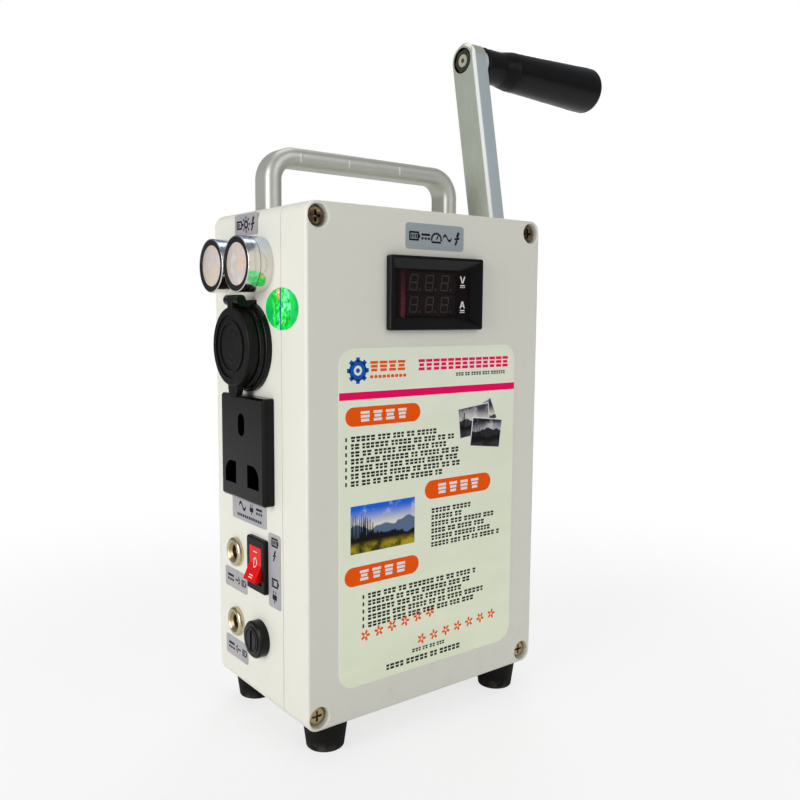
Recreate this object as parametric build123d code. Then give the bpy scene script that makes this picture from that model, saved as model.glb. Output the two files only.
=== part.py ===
from build123d import *
import os
from math import acos, cos, pi, radians, sin, sqrt, tan

# Hand crank generator in a two-shell box. Millimetres, +Z up, +X towards the crank, -Y the front.
# The origin is on the surface it stands on, under the middle of the box.

# Box
box_width = 120.0
box_depth = 75.0
box_height = 200.0
wall = 2.5
lid_depth = 18.0
corner_radius = 5.0
front_edge_radius = 1.2
back_edge_radius = 2.0
seam_chamfer = 0.35
foot_height = 11.0

# Running, sliding and screwed fits, as a gap on the radius or on each side
running_gap = 0.05
slip_gap = 0.1
thread_gap = 0.03
seat_gap = 0.3

# Planes of the box
left, right = -box_width / 2, box_width / 2
front, back = -box_depth / 2, box_depth / 2
base, top = foot_height, foot_height + box_height
seam = front + lid_depth
inner_left, inner_right = left + wall, right - wall
inner_front, inner_back = front + wall, back - wall
inner_base, inner_top = base + wall, top - wall
case_middle = (seam + back) / 2

# Gasket between the two shells
gasket_width = 1.0
gasket_height = 0.9

# Screws that close the box, in recesses at its four corners
post_inset = 5.4
lid_post_radius = 5.3
case_post_radius = 3.6
cover_screw_radius = 2.0
cover_screw_length = 26.0
cover_head_radius = 3.75
cover_head_height = 2.4
recess_radius = 4.25
recess_depth = 4.6
recess_chamfer = 0.45

# Rubber feet, and the screws that hold the feet and the handle
foot_top_radius = 9.0
foot_bottom_radius = 7.5
foot_inset_x = 13.5
foot_recess_depth = 4.0
foot_boss_radius = 4.0
foot_boss_height = 7.0
pan_screw_radius = 2.0
pan_screw_length = 14.0
pan_head_radius = 3.5
pan_head_height = 2.4

# Carrying handle, a flattened aluminium bar bent to a U
handle_width = 13.6
handle_thickness = 7.7
handle_corner = 3.6
handle_rise = 27.0
handle_bend = 10.0
handle_inset = 12.85
handle_y = 12.7

# Volt and ampere meter in the lid
meter_width = 48.0
meter_height = 29.0
meter_proud = 3.0
meter_rim = 1.4
meter_frame = 4.9
meter_ledge = 0.7
meter_depth = 16.5
meter_drop = 32.5
meter_window_thickness = 1.0
meter_board_thickness = 1.6

# Two round lamps on the left wall
lamp_radius = 10.75
lamp_length = 10.5
lamp_pitch = 22.0
lamp_drop = 22.0
lamp_pocket_radius = 10.25
lamp_pocket_depth = 3.2
lamp_ring_wall = 1.9
lamp_ring_setback = 0.3
lamp_lens_rise = 1.3
lamp_board_thickness = 1.2
lamp_stud_length = 15.0
panel_thread_radius = 6.0
panel_nut_flats = 16.0
panel_nut_height = 3.0

# Round socket with two charging ports, under a hinged rubber cap
usb_gap_above = 0.85
usb_y = case_middle - 3.5
usb_barrel_radius = 14.4
usb_barrel_length = 38.0
usb_barrel_wall = 2.2
usb_flange_lip = 3.6
usb_flange_height = 2.4
usb_step_lip = 2.4
usb_step_height = 2.0
usb_nut_height = 5.0
usb_face_setback = 1.0
usb_port_width = 12.6
usb_port_height = 5.2
usb_port_pitch = 9.0
usb_port_depth = 12.0
usb_cap_lip = 1.4
usb_cap_height = 4.2
usb_hinge_reach = 2.6
usb_knuckle_radius = 2.0
usb_knuckle_width = 3.6
usb_lug_width = 4.4
usb_pin_radius = 0.9

# Mains socket
outlet_gap_above = 1.5
outlet_y = case_middle - 4.5
outlet_width = 36.0
outlet_height = 42.5
outlet_proud = 5.0
outlet_body_width = 33.0
outlet_body_height = 39.0
outlet_body_depth = 24.0
outlet_skin = 4.0
outlet_pole_width = 9.6
outlet_pole_height = 9.2
outlet_pole_round = 5.5
outlet_earth_width = 5.6
outlet_pole_offset = 9.6
outlet_pole_drop = 10.6
outlet_earth_rise = 9.5
outlet_chamber = 11.4
contact_thickness = 0.7

# Three-position rocker switch
rocker_rise = 57.9
rocker_y = case_middle - 9.5
rocker_height = 22.2
rocker_width = 15.0
rocker_proud = 2.0
rocker_body_height = 19.2
rocker_body_width = 12.9
rocker_body_depth = 15.0
rocker_opening_height = 15.6
rocker_opening_width = 10.2
rocker_tilt = 12.5
rocker_pivot_depth = 1.6
rocker_pin_radius = 1.0
rocker_pin_reach = 0.8

# Two low-voltage jacks
jack_rises = (58.5, 28.0)
jack_y = case_middle + 10.5
jack_nut_radius = 6.2
jack_nut_height = 2.2
jack_barrel_radius = 3.95
jack_bore_radius = 2.8
jack_funnel = 0.9
jack_bore_depth = 10.0
jack_shoulder_radius = 5.75
jack_depth = 14.0
jack_pin_radius = 1.05

# Fuse holder
fuse_rise = 27.0
fuse_y = case_middle - 10.0
fuse_flange_radius = 7.6
fuse_proud = 4.2
fuse_depth = 34.0
fuse_cap_radius = 5.5
fuse_cap_proud = 0.4
fuse_cap_height = 4.4
fuse_carrier_radius = 3.4
fuse_carrier_length = 6.0
fuse_radius = 2.6
fuse_length = 20.0
fuse_end_length = 5.0

# Printed labels: thin film stuck on the walls
label_thickness = 0.2
spec_width, spec_height, spec_rise, spec_corner = 92.0, 133.0, 13.5, 7.0
meter_label_width, meter_label_height, meter_label_drop = 30.0, 10.0, 10.2
seal_width, seal_height, seal_drop = 24.4, 16.0, 39.0

# Crank: arm, shaft and turning grip
crank_drop = 40.0
crank_lean = 10.3
arm_length = 125.0
arm_width = 17.0
arm_thickness = 10.0
arm_clearance = 6.0
arm_edge = 1.5
shaft_radius = 4.0
shaft_collar_radius = 6.0
bush_radius = 7.0
bush_flange_radius = 13.0
bush_flange_height = 2.5
inner_bush_flange_height = 1.5
hub_screw_radius = 2.0
hub_screw_length = 10.0
hub_head_radius = 6.0
hub_head_height = 3.2
grip_length = 83.5
grip_neck_radius = 8.3
grip_neck_length = 14.0
grip_shoulder_length = 8.0
grip_start_radius = 9.6
grip_end_radius = 12.0
grip_end_round = 3.5
spindle_radius = 3.0
spindle_collar_radius = 6.5
spindle_collar_height = 2.0
spindle_head_radius = 4.8
spindle_head_height = 3.0
grip_plug_radius = 5.6
grip_plug_depth = 7.0
spindle_nut_flats = 10.0
spindle_nut_height = 4.0
nut_pocket_radius = 6.1
nut_pocket_depth = 4.6

# Gear train between the two plates
gear_module = 1.0
pressure_angle = 20.0
addendum = 0.75
dedendum = 1.05
tooth_thinning = 0.15
crank_gear_teeth = 48
idler_pinion_teeth = 12
idler_gear_teeth = 36
rotor_pinion_teeth = 12
plate_thickness = 2.0
plate_gap = 16.0
plate_half_width = 19.0
spacer_radius = 3.5
spacer_y = 14.0
spacer_edge = 4.5
low_spacer_drop = 8.0
gearbox_screw_radius = 2.0
gearbox_head_radius = 4.0
gearbox_head_height = 2.6
gear_face = 6.0
second_gear_face = 5.0
gear_end_gap = 1.0
axle_radius = 2.0
gear_hub_radius = 7.0

# Generator
can_radius = 21.0
can_length = 38.0
can_wall = 1.5
can_face = 2.0
end_cap_thickness = 2.5
end_boss_length = 2.5
can_boss_radius = 6.0
magnet_thickness = 4.0
magnet_length = 24.0
magnet_angle = 130.0
air_gap = 0.5
rotor_shaft_radius = 2.5
core_length = 20.0
winding_radius = 12.5
winding_length = 3.0
commutator_radius = 5.0
commutator_length = 5.0
core_slots = 7
core_slot_width = 2.6
generator_screw_radius = 1.5
generator_screw_reach = 12.5
generator_head_radius = 2.75
generator_head_height = 1.3

# Battery pack of round cells standing in two holders
cell_radius = 9.2
cell_length = 65.2
cell_pitch = 19.2
cells_wide, cells_deep = 3, 2
holder_height = 9.0
holder_floor = 2.0
pack_middle_x = 12.8

# Circuit boards
board_thickness = 1.6
standoff_radius = 3.0
standoff_neck_radius = 1.5
standoff_inset = 4.0
inverter_board_width, inverter_board_height, inverter_board_rise = 80.0, 70.0, 14.0
inverter_standoff = 5.0
charge_board_width, charge_board_height, charge_board_rise = 30.0, 60.0, 15.0
charge_standoff = 4.0

# Places worked out from the sizes above
lamp_z = top - lamp_drop
lamp_y = case_middle - 1.5
rocker_z = base + rocker_rise
fuse_z = base + fuse_rise
meter_z = top - meter_drop
handle_x = box_width / 2 - handle_inset
foot_x = box_width / 2 - foot_inset_x
foot_ys = (front + foot_top_radius, back - foot_top_radius)
crank_z = top - crank_drop
idler_z = crank_z - gear_module * (crank_gear_teeth + idler_pinion_teeth) / 2
rotor_z = idler_z - gear_module * (idler_gear_teeth + rotor_pinion_teeth) / 2
outer_plate_x = inner_right - plate_thickness
inner_plate_x = outer_plate_x - plate_gap - plate_thickness
gear_space_x = inner_plate_x + plate_thickness
crank_gear_x = outer_plate_x - gear_end_gap - gear_face
arm_x = right + arm_clearance
can_x = inner_plate_x - can_length
usb_flange_radius = usb_barrel_radius + usb_flange_lip
usb_step_radius = usb_barrel_radius + usb_step_lip
usb_cap_radius = usb_barrel_radius + usb_cap_lip
usb_bore_radius = usb_barrel_radius - usb_barrel_wall
usb_hinge_rise = usb_cap_radius + usb_hinge_reach
usb_z = lamp_z - lamp_radius - usb_gap_above - usb_knuckle_radius - usb_hinge_rise
outlet_z = usb_z - usb_flange_radius - outlet_gap_above - outlet_height / 2
usb_hinge_x = left - usb_flange_height - usb_step_height - usb_knuckle_radius - seat_gap
usb_hinge_z = usb_z + usb_hinge_rise
rocker_pivot_x = left - rocker_proud + rocker_pivot_depth
pole_ys = (outlet_y - outlet_pole_offset, outlet_y + outlet_pole_offset)
pole_z = outlet_z - outlet_pole_drop
earth_z = outlet_z + outlet_earth_rise


# Shapes used by many pieces

def along_x(x_start, x_end, y, z, profile):
    """A profile drawn with its width on Y and its height on Z, extruded from x_start to x_end."""
    plane = Plane(origin=(x_start, y, z), x_dir=(0, 1, 0), z_dir=(1, 0, 0))
    return extrude(plane * profile, amount=x_end - x_start)


def along_y(y_start, y_end, x, z, profile):
    """A profile drawn with its width on X and its height on Z, extruded from y_start to y_end."""
    plane = Plane(origin=(x, y_start, z), x_dir=(1, 0, 0), z_dir=(0, -1, 0))
    return extrude(plane * profile, amount=y_start - y_end)


def along_z(z_start, z_end, x, y, profile):
    """A profile drawn on XY, extruded from z_start to z_end."""
    return extrude(Plane(origin=(x, y, z_start)) * profile, amount=z_end - z_start)


def turned_x(points, y, z):
    """A solid of revolution about an X axis; points are (x, radius) pairs of its closed outline."""
    outline = make_face(Polyline(*[(x, r) for x, r in points], close=True))
    return Location((0, y, z)) * revolve(outline, Axis.X)


def hexagon(flats):
    return RegularPolygon(radius=flats / 2, side_count=6, major_radius=False)


def around(count, radius, profile):
    """Equal profiles at this radius, spread around the origin."""
    return Sketch() + [Rot(0, 0, 360 / count * i) * Pos(radius, 0) * profile for i in range(count)]


def ring_edges(solid, axis, position):
    """The circular edges of a solid that lie in the plane at this place on the axis."""
    return solid.edges().filter_by(GeomType.CIRCLE).filter_by_position(axis, position - 0.01, position + 0.01)


def cross_recess(size, depth):
    """The tool of a cross-head driver, pointing down from the origin."""
    blade = extrude(Rectangle(size, size * 0.22), amount=-depth, taper=8)
    return blade + Rot(0, 0, 90) * blade


def pan_screw(radius, length, head_radius, head_height):
    """A cross-head screw along Z: its head stands above Z = 0 and its shank hangs below."""
    head = extrude(Circle(head_radius), amount=head_height)
    head = fillet(head.edges().filter_by(GeomType.CIRCLE).sort_by(Axis.Z)[-1], head_height * 0.45)
    shank = extrude(Circle(radius), amount=-length)
    recess = Pos(0, 0, head_height) * cross_recess(head_radius * 1.15, head_height * 0.6)
    return head + shank - recess


def corners():
    """The four places of the screws that close the box, as (x, z)."""
    xs = (left + post_inset, right - post_inset)
    zs = (base + post_inset, top - post_inset)
    return [(x, z) for x in xs for z in zs]


def foot_places():
    return [(x, y) for x in (-foot_x, foot_x) for y in foot_ys]


def gear_outline(teeth, tooth_at):
    """Stub involute teeth as straight facets, with the middle of one tooth at the angle tooth_at."""
    pitch = gear_module * teeth / 2
    base_circle = pitch * cos(radians(pressure_angle))
    root = pitch - dedendum * gear_module
    tip = pitch + addendum * gear_module

    def involute(radius):
        angle = acos(min(1.0, base_circle / radius))
        return tan(angle) - angle

    half_at_pitch = (pi * gear_module / 2 - tooth_thinning) / 2 / pitch

    def half_angle(radius):
        return half_at_pitch + involute(pitch) - involute(max(radius, base_circle))

    radii = [root] + ([base_circle] if base_circle > root else []) + [pitch, tip]
    points = []
    for tooth in range(teeth):
        middle = radians(tooth_at) + 2 * pi * tooth / teeth
        points += [(r * cos(middle - half_angle(r)), r * sin(middle - half_angle(r))) for r in radii]
        points += [(r * cos(middle + half_angle(r)), r * sin(middle + half_angle(r))) for r in reversed(radii)]
    return make_face(Polyline(*points, close=True))


# Box shells

def box_outline():
    return RectangleRounded(box_width, box_height, corner_radius)


def box_inside():
    return RectangleRounded(box_width - 2 * wall, box_height - 2 * wall, corner_radius - wall)


def gasket_ring(width):
    middle = wall
    outer = RectangleRounded(
        box_width - middle + width, box_height - middle + width, corner_radius - (middle - width) / 2
    )
    inner = RectangleRounded(
        box_width - middle - width, box_height - middle - width, corner_radius - (middle + width) / 2
    )
    return outer - inner


def foot_bosses(y):
    boss = Circle(foot_boss_radius)
    hole = Circle(pan_screw_radius + thread_gap)
    bosses = [along_z(inner_base - 0.5, inner_base + foot_boss_height, x, y, boss) for x in (-foot_x, foot_x)]
    holes = [along_z(base, inner_base + foot_boss_height - 1, x, y, hole) for x in (-foot_x, foot_x)]
    return bosses, holes


def cover_screw_hole():
    """The recess for a cover screw, its chamfered mouth and the clearance hole through the post."""
    mouth, floor = front, front + recess_depth
    hole = Circle(cover_screw_radius + slip_gap)
    tool = along_y(floor - 1, seam + 1, 0, 0, hole) + along_y(mouth - 1, floor, 0, 0, Circle(recess_radius))
    cone = Cone(recess_radius, recess_radius + 2 * recess_chamfer, 2 * recess_chamfer)
    return tool + Pos(0, mouth, 0) * Rot(90, 0, 0) * cone


def front_cover():
    middle_z = (base + top) / 2
    body = along_y(front, seam, 0, middle_z, box_outline())
    body = fillet(body.faces().sort_by(Axis.Y)[0].edges(), front_edge_radius)
    body = chamfer(body.faces().sort_by(Axis.Y)[-1].edges(), seam_chamfer)
    outer = body
    body -= along_y(inner_front, seam, 0, middle_z, box_inside())
    bosses, boss_holes = foot_bosses(foot_ys[0])
    body += [outer & along_y(front, seam, x, z, Circle(lid_post_radius)) for x, z in corners()]
    body += bosses
    body -= boss_holes
    body -= [Pos(x, 0, z) * cover_screw_hole() for x, z in corners()]
    meter_hole = Rectangle(meter_width - 2 * meter_rim + 2 * slip_gap, meter_height - 2 * meter_rim + 2 * slip_gap)
    return body - along_y(front, inner_front, 0, meter_z, meter_hole)


def rear_case():
    middle_z = (base + top) / 2
    body = along_y(seam, back, 0, middle_z, box_outline())
    body = fillet(body.faces().sort_by(Axis.Y)[-1].edges(), back_edge_radius)
    body = chamfer(body.faces().sort_by(Axis.Y)[0].edges(), seam_chamfer)
    body -= along_y(seam, inner_back, 0, middle_z, box_inside())
    bosses, boss_holes = foot_bosses(foot_ys[1])
    body += [along_y(seam, inner_back + 0.5, x, z, Circle(case_post_radius)) for x, z in corners()]
    body += bosses
    body -= boss_holes
    body -= along_y(seam, seam + gasket_height + slip_gap, 0, middle_z, gasket_ring(gasket_width + 2 * slip_gap))
    screw_tip = front + recess_depth + cover_screw_length + 1
    body -= [along_y(seam, screw_tip, x, z, Circle(cover_screw_radius + thread_gap)) for x, z in corners()]
    for y in (lamp_y - lamp_pitch / 2, lamp_y + lamp_pitch / 2):
        body -= along_x(left, inner_left, y, lamp_z, Circle(panel_thread_radius + slip_gap))
    body -= along_x(left, inner_left, usb_y, usb_z, Circle(usb_barrel_radius + slip_gap))
    outlet_hole = Rectangle(outlet_body_width + 2 * slip_gap, outlet_body_height + 2 * slip_gap)
    body -= along_x(left, inner_left, outlet_y, outlet_z, outlet_hole)
    rocker_hole = Rectangle(rocker_body_width + 2 * slip_gap, rocker_body_height + 2 * slip_gap)
    body -= along_x(left, inner_left, rocker_y, rocker_z, rocker_hole)
    for rise in jack_rises:
        body -= along_x(left, inner_left, jack_y, base + rise, Circle(jack_barrel_radius + slip_gap))
    body -= along_x(left, inner_left, fuse_y, fuse_z, Circle(panel_thread_radius + slip_gap))
    body -= along_x(inner_right, right, 0, crank_z, Circle(bush_radius + slip_gap))
    screw_hole = Circle(gearbox_screw_radius + slip_gap)
    body -= [along_x(inner_right, right, y, z, screw_hole) for y, z in spacer_places()]
    handle_hole = Circle(pan_screw_radius + slip_gap)
    body -= [along_z(inner_top, top, x, handle_y, handle_hole) for x in (-handle_x, handle_x)]
    return body


def cover_gasket():
    return along_y(seam, seam + gasket_height, 0, (base + top) / 2, gasket_ring(gasket_width))


def cover_screws():
    screw = pan_screw(cover_screw_radius, cover_screw_length, cover_head_radius, cover_head_height)
    return [Pos(x, front + recess_depth, z) * Rot(90, 0, 0) * screw for x, z in corners()]


# Feet and handle

def rubber_feet():
    feet = []
    for x, y in foot_places():
        foot = Cone(foot_bottom_radius, foot_top_radius, foot_height, align=(Align.CENTER, Align.CENTER, Align.MIN))
        foot = fillet(foot.edges().filter_by(GeomType.CIRCLE).sort_by(Axis.Z)[0], 0.8)
        foot -= Pos(0, 0, -1) * extrude(Circle(pan_head_radius + 0.5), amount=1 + foot_recess_depth)
        foot -= extrude(Circle(pan_screw_radius + slip_gap), amount=foot_height)
        feet.append(Pos(x, y, 0) * foot)
    return feet


def pan_screws():
    screw = pan_screw(pan_screw_radius, pan_screw_length, pan_head_radius, pan_head_height)
    under_feet = [Pos(x, y, foot_recess_depth) * Rot(180, 0, 0) * screw for x, y in foot_places()]
    under_handle = [Pos(x, handle_y, inner_top) * Rot(180, 0, 0) * screw for x in (-handle_x, handle_x)]
    return under_feet + under_handle


def carry_handle():
    crown = top + handle_rise - handle_thickness / 2
    path = FilletPolyline(
        (-handle_x, handle_y, top), (-handle_x, handle_y, crown), (handle_x, handle_y, crown),
        (handle_x, handle_y, top), radius=handle_bend,
    )
    section = Plane(origin=(-handle_x, handle_y, top)) * RectangleRounded(
        handle_thickness, handle_width, handle_corner
    )
    bar = sweep(section, path=path)
    screw_reach = pan_screw_length - wall + 1
    hole = Circle(pan_screw_radius + thread_gap)
    return bar - [along_z(top, top + screw_reach, x, handle_y, hole) for x in (-handle_x, handle_x)]


# Meter

def meter_housing():
    body_width, body_height = meter_width - 2 * meter_rim, meter_height - 2 * meter_rim
    bezel = along_y(front - meter_proud, front, 0, meter_z, RectangleRounded(meter_width, meter_height, 1.0))
    bezel = fillet(bezel.faces().sort_by(Axis.Y)[0].edges(), 0.6)
    body = along_y(front, front + meter_depth, 0, meter_z, Rectangle(body_width, body_height))
    window_width, window_height = meter_window_size()
    mouth = Plane(origin=(0, front - meter_proud, meter_z), x_dir=(1, 0, 0), z_dir=(0, -1, 0))
    seat = Plane(origin=(0, front, meter_z), x_dir=(1, 0, 0), z_dir=(0, -1, 0))
    slope = loft(Sketch() + [
        mouth * Rectangle(meter_width - 2.4, meter_height - 2.4), seat * Rectangle(window_width, window_height)
    ])
    pocket = Rectangle(window_width, window_height)
    hollow = Rectangle(window_width - 2 * meter_ledge, window_height - 2 * meter_ledge)
    back_opening = Rectangle(body_width - 2 * meter_rim, body_height - 2 * meter_rim)
    housing = bezel + body - slope
    housing -= along_y(front, front + meter_window_thickness, 0, meter_z, pocket)
    housing -= along_y(front, front + meter_depth, 0, meter_z, hollow)
    return housing - along_y(meter_board_y(), front + meter_depth, 0, meter_z, back_opening)


def meter_window_size():
    return meter_width - 2 * meter_frame, meter_height - 2 * meter_frame


def meter_board_y():
    return front + meter_depth - meter_board_thickness - 2


def meter_window():
    width, height = meter_window_size()
    pane = Rectangle(width - 2 * slip_gap, height - 2 * slip_gap)
    return along_y(front, front + meter_window_thickness, 0, meter_z, pane)


def meter_board():
    """The meter's board, with its two blocks of three digits as solids of their own."""
    width, height = meter_width - 4 * meter_rim, meter_height - 4 * meter_rim
    board_y = meter_board_y()
    board = along_y(
        board_y, board_y + meter_board_thickness, 0, meter_z, Rectangle(width - 2 * slip_gap, height - 2 * slip_gap)
    )
    block = Rectangle(25.0, 8.2)
    blocks = [along_y(front + 2.0, board_y, 0.2, meter_z + dz, block) for dz in (-4.4, 4.4)]
    return [board] + blocks


# Labels

def spec_sticker():
    outline = RectangleRounded(spec_width, spec_height, spec_corner)
    return along_y(front - label_thickness, front, 0, base + spec_rise + spec_height / 2, outline)


def port_labels():
    """The small grey labels: one over the meter, and one by each group of fittings on the left wall."""
    over_meter = RectangleRounded(meter_label_width, meter_label_height, 1.5)
    labels = [along_y(front - label_thickness, front, 0, top - meter_label_drop, over_meter)]
    under_outlet = outlet_z - outlet_height / 2 - 5.6
    places = [
        (lamp_y, top - 5.8, 19.4, 8.6),
        (outlet_y + 3.4, under_outlet, 29.5, 10.6),
        (rocker_y - 12.7, rocker_z, 9.6, 30.0),
        (jack_y + 0.8, base + jack_rises[0] - 12.6, 20.0, 8.6),
        (jack_y + 0.8, base + jack_rises[1] - 12.6, 20.0, 8.6),
    ]
    for y, z, width, height in places:
        labels.append(along_x(left - label_thickness, left, y, z, RectangleRounded(width, height, 1.2)))
    return labels


def seal_sticker():
    """An oval foil seal across the seam of the two shells."""
    seal_y = usb_y - usb_flange_radius - seal_width / 2 + 4.5
    return along_x(left - label_thickness, left, seal_y, top - seal_drop, Ellipse(seal_width / 2, seal_height / 2))


# Lamps

def lamp_ys():
    return (lamp_y - lamp_pitch / 2, lamp_y + lamp_pitch / 2)


def lamp_bodies():
    mouth = left - lamp_length
    bodies = []
    for y in lamp_ys():
        body = along_x(mouth, left, y, lamp_z, Circle(lamp_radius))
        body = fillet(ring_edges(body, Axis.X, mouth), 0.35)
        body += along_x(left, left + lamp_stud_length, y, lamp_z, Circle(panel_thread_radius))
        body -= along_x(mouth, mouth + lamp_pocket_depth, y, lamp_z, Circle(lamp_pocket_radius))
        body -= along_x(mouth, left + lamp_stud_length, y, lamp_z, Circle(2.0))
        bodies.append(body)
    return bodies


def lamp_rings():
    start = left - lamp_length + lamp_ring_setback
    end = left - lamp_length + lamp_pocket_depth - lamp_board_thickness
    outer = lamp_pocket_radius - slip_gap
    profile = Circle(outer) - Circle(outer - lamp_ring_wall)
    return [along_x(start, end, y, lamp_z, profile) for y in lamp_ys()]


def lamp_lenses():
    """A disc with a domed face, cut from a large sphere."""
    seat = left - lamp_length + lamp_pocket_depth - lamp_board_thickness
    rim = left - lamp_length + lamp_ring_setback
    radius = lamp_pocket_radius - lamp_ring_wall - 2 * slip_gap
    crown = rim - lamp_lens_rise
    sphere_radius = (radius**2 + lamp_lens_rise**2) / (2 * lamp_lens_rise)
    sphere = Pos(crown + sphere_radius, 0, 0) * Sphere(sphere_radius)
    lens = along_x(crown - 1, seat, 0, 0, Circle(radius)) & sphere
    return [Pos(0, y, lamp_z) * lens for y in lamp_ys()]


def lamp_boards():
    end = left - lamp_length + lamp_pocket_depth
    board = Circle(lamp_pocket_radius - slip_gap)
    return [along_x(end - lamp_board_thickness, end, y, lamp_z, board) for y in lamp_ys()]


def panel_nuts():
    """The equal nuts behind the left wall, on the two lamps and the fuse holder."""
    nut = hexagon(panel_nut_flats) - Circle(panel_thread_radius + thread_gap)
    places = [(y, lamp_z) for y in lamp_ys()] + [(fuse_y, fuse_z)]
    return [along_x(inner_left, inner_left + panel_nut_height, y, z, nut) for y, z in places]


# Charging socket with its cap

def usb_knuckle_ys():
    reach = usb_lug_width / 2 + slip_gap + usb_knuckle_width / 2
    return (usb_y - reach, usb_y + reach)


def usb_socket():
    face = left - usb_flange_height - usb_step_height
    body = along_x(left - usb_flange_height, left, usb_y, usb_z, Circle(usb_flange_radius))
    body = fillet(ring_edges(body, Axis.X, left - usb_flange_height), 0.8)
    step = along_x(face, left - usb_flange_height, usb_y, usb_z, Circle(usb_step_radius))
    body += fillet(ring_edges(step, Axis.X, face), 0.5)
    body += along_x(left, left + usb_barrel_length, usb_y, usb_z, Circle(usb_barrel_radius))
    ear_height = usb_hinge_z - usb_z
    for y in usb_knuckle_ys():
        ear = along_x(usb_hinge_x, left, y, usb_z + ear_height / 2, Rectangle(usb_knuckle_width, ear_height))
        ear &= along_x(usb_hinge_x, left, y, usb_z, Circle(ear_height + 1) - Circle(usb_step_radius - 1))
        body += ear
        body += along_y(
            y - usb_knuckle_width / 2, y + usb_knuckle_width / 2, usb_hinge_x, usb_hinge_z,
            Circle(usb_knuckle_radius),
        )
    body -= along_x(face, left + usb_barrel_length, usb_y, usb_z, Circle(usb_bore_radius))
    cap_space = along_x(usb_hinge_x - usb_knuckle_radius - 1, face, usb_y, usb_z, Circle(usb_cap_radius + seat_gap))
    body -= cap_space
    pin_reach = usb_lug_width / 2 + slip_gap + usb_knuckle_width
    return body - along_y(
        usb_y - pin_reach, usb_y + pin_reach, usb_hinge_x, usb_hinge_z, Circle(usb_pin_radius + thread_gap)
    )


def usb_module():
    face = left - usb_flange_height - usb_step_height + usb_face_setback
    body = along_x(face, left + usb_barrel_length, usb_y, usb_z, Circle(usb_bore_radius - running_gap))
    port = Rectangle(usb_port_width, usb_port_height)
    tongue = Rectangle(usb_port_width - 2.4, 1.3)
    for dz in (-usb_port_pitch / 2, usb_port_pitch / 2):
        body -= along_x(face, face + usb_port_depth, usb_y, usb_z + dz, port)
        body += along_x(face + usb_port_depth - 2.0, face + usb_port_depth, usb_y, usb_z + dz, tongue)
    return body


def usb_nut():
    ring = Circle(usb_flange_radius - 1) - Circle(usb_barrel_radius + thread_gap)
    nut = along_x(inner_left, inner_left + usb_nut_height, usb_y, usb_z, ring)
    flutes = around(16, usb_flange_radius - 0.4, Circle(1.1))
    return nut - along_x(inner_left, inner_left + usb_nut_height, usb_y, usb_z, flutes)


def usb_cap():
    """A rubber cap with two raised rings on its face, a hinge lug on top and a pull tab below."""
    seat = left - usb_flange_height - usb_step_height - seat_gap
    face = seat - usb_cap_height
    cap = along_x(face, seat, usb_y, usb_z, Circle(usb_cap_radius))
    cap = fillet(ring_edges(cap, Axis.X, face), 1.2)
    cap -= along_x(face, face + 0.6, usb_y, usb_z, Circle(usb_cap_radius - 3.2))
    inner_ring = Circle(usb_cap_radius - 5.4) - Circle(usb_cap_radius - 6.4)
    cap += along_x(face + 0.15, face + 0.8, usb_y, usb_z, inner_ring)
    neck_height = usb_hinge_rise - usb_cap_radius + 2
    neck = Rectangle(usb_lug_width, neck_height)
    cap += along_x(usb_hinge_x - usb_knuckle_radius, seat, usb_y, usb_hinge_z - neck_height / 2, neck) & along_x(
        face, seat, usb_y, usb_z, Rectangle(box_depth, box_height)
    )
    cap += along_y(
        usb_y - usb_lug_width / 2, usb_y + usb_lug_width / 2, usb_hinge_x, usb_hinge_z, Circle(usb_knuckle_radius)
    )
    tab = Pos(0, -usb_cap_radius) * SlotOverall(9.0, 8.0, rotation=90)
    cap += along_x(face + 1.0, seat - 0.6, usb_y, usb_z, tab)
    return cap - along_y(
        usb_y - usb_lug_width, usb_y + usb_lug_width, usb_hinge_x, usb_hinge_z, Circle(usb_pin_radius + running_gap)
    )


def usb_cap_pin():
    reach = usb_lug_width / 2 + slip_gap + usb_knuckle_width
    return along_y(usb_y - reach, usb_y + reach, usb_hinge_x, usb_hinge_z, Circle(usb_pin_radius))


# Mains socket

def outlet_poles():
    """Where the three poles are, as (y, z): earth on top, then the two lower ones."""
    return [(outlet_y, earth_z)] + [(y, pole_z) for y in pole_ys]


def pole_opening(side):
    """A lower opening: upright on its inner side, with a large round at its outer upper corner."""
    width, height, cut = outlet_pole_width, outlet_pole_height, outlet_pole_round
    corner = Pos(side * (width / 2 - cut / 2), height / 2 - cut / 2) * Rectangle(cut, cut)
    rounding = Pos(side * (width / 2 - cut), height / 2 - cut) * Circle(cut)
    return Rectangle(width, height) - (corner - rounding)


def outlet_housing():
    face = left - outlet_proud
    plate = along_x(face, left, outlet_y, outlet_z, RectangleRounded(outlet_width, outlet_height, 1.0))
    plate = chamfer(plate.faces().sort_by(Axis.X)[0].edges(), 0.9)
    body_end = left + outlet_body_depth
    housing = plate + along_x(left, body_end, outlet_y, outlet_z, Rectangle(outlet_body_width, outlet_body_height))
    chamber = Rectangle(outlet_chamber, outlet_chamber)
    earth = SlotOverall(outlet_pole_height, outlet_earth_width, rotation=90)
    for (y, z), opening in zip(outlet_poles(), (earth, pole_opening(-1), pole_opening(1))):
        housing -= along_x(face, face + outlet_skin, y, z, opening)
        housing -= along_x(face + outlet_skin, body_end - 1.5, y, z, chamber)
        housing -= along_x(body_end - 1.5, body_end, y, z, contact_tab(slip_gap))
    return housing


def contact_tab(gap):
    return Rectangle(contact_thickness + 2 * gap, 4.8 + 2 * gap)


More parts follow.
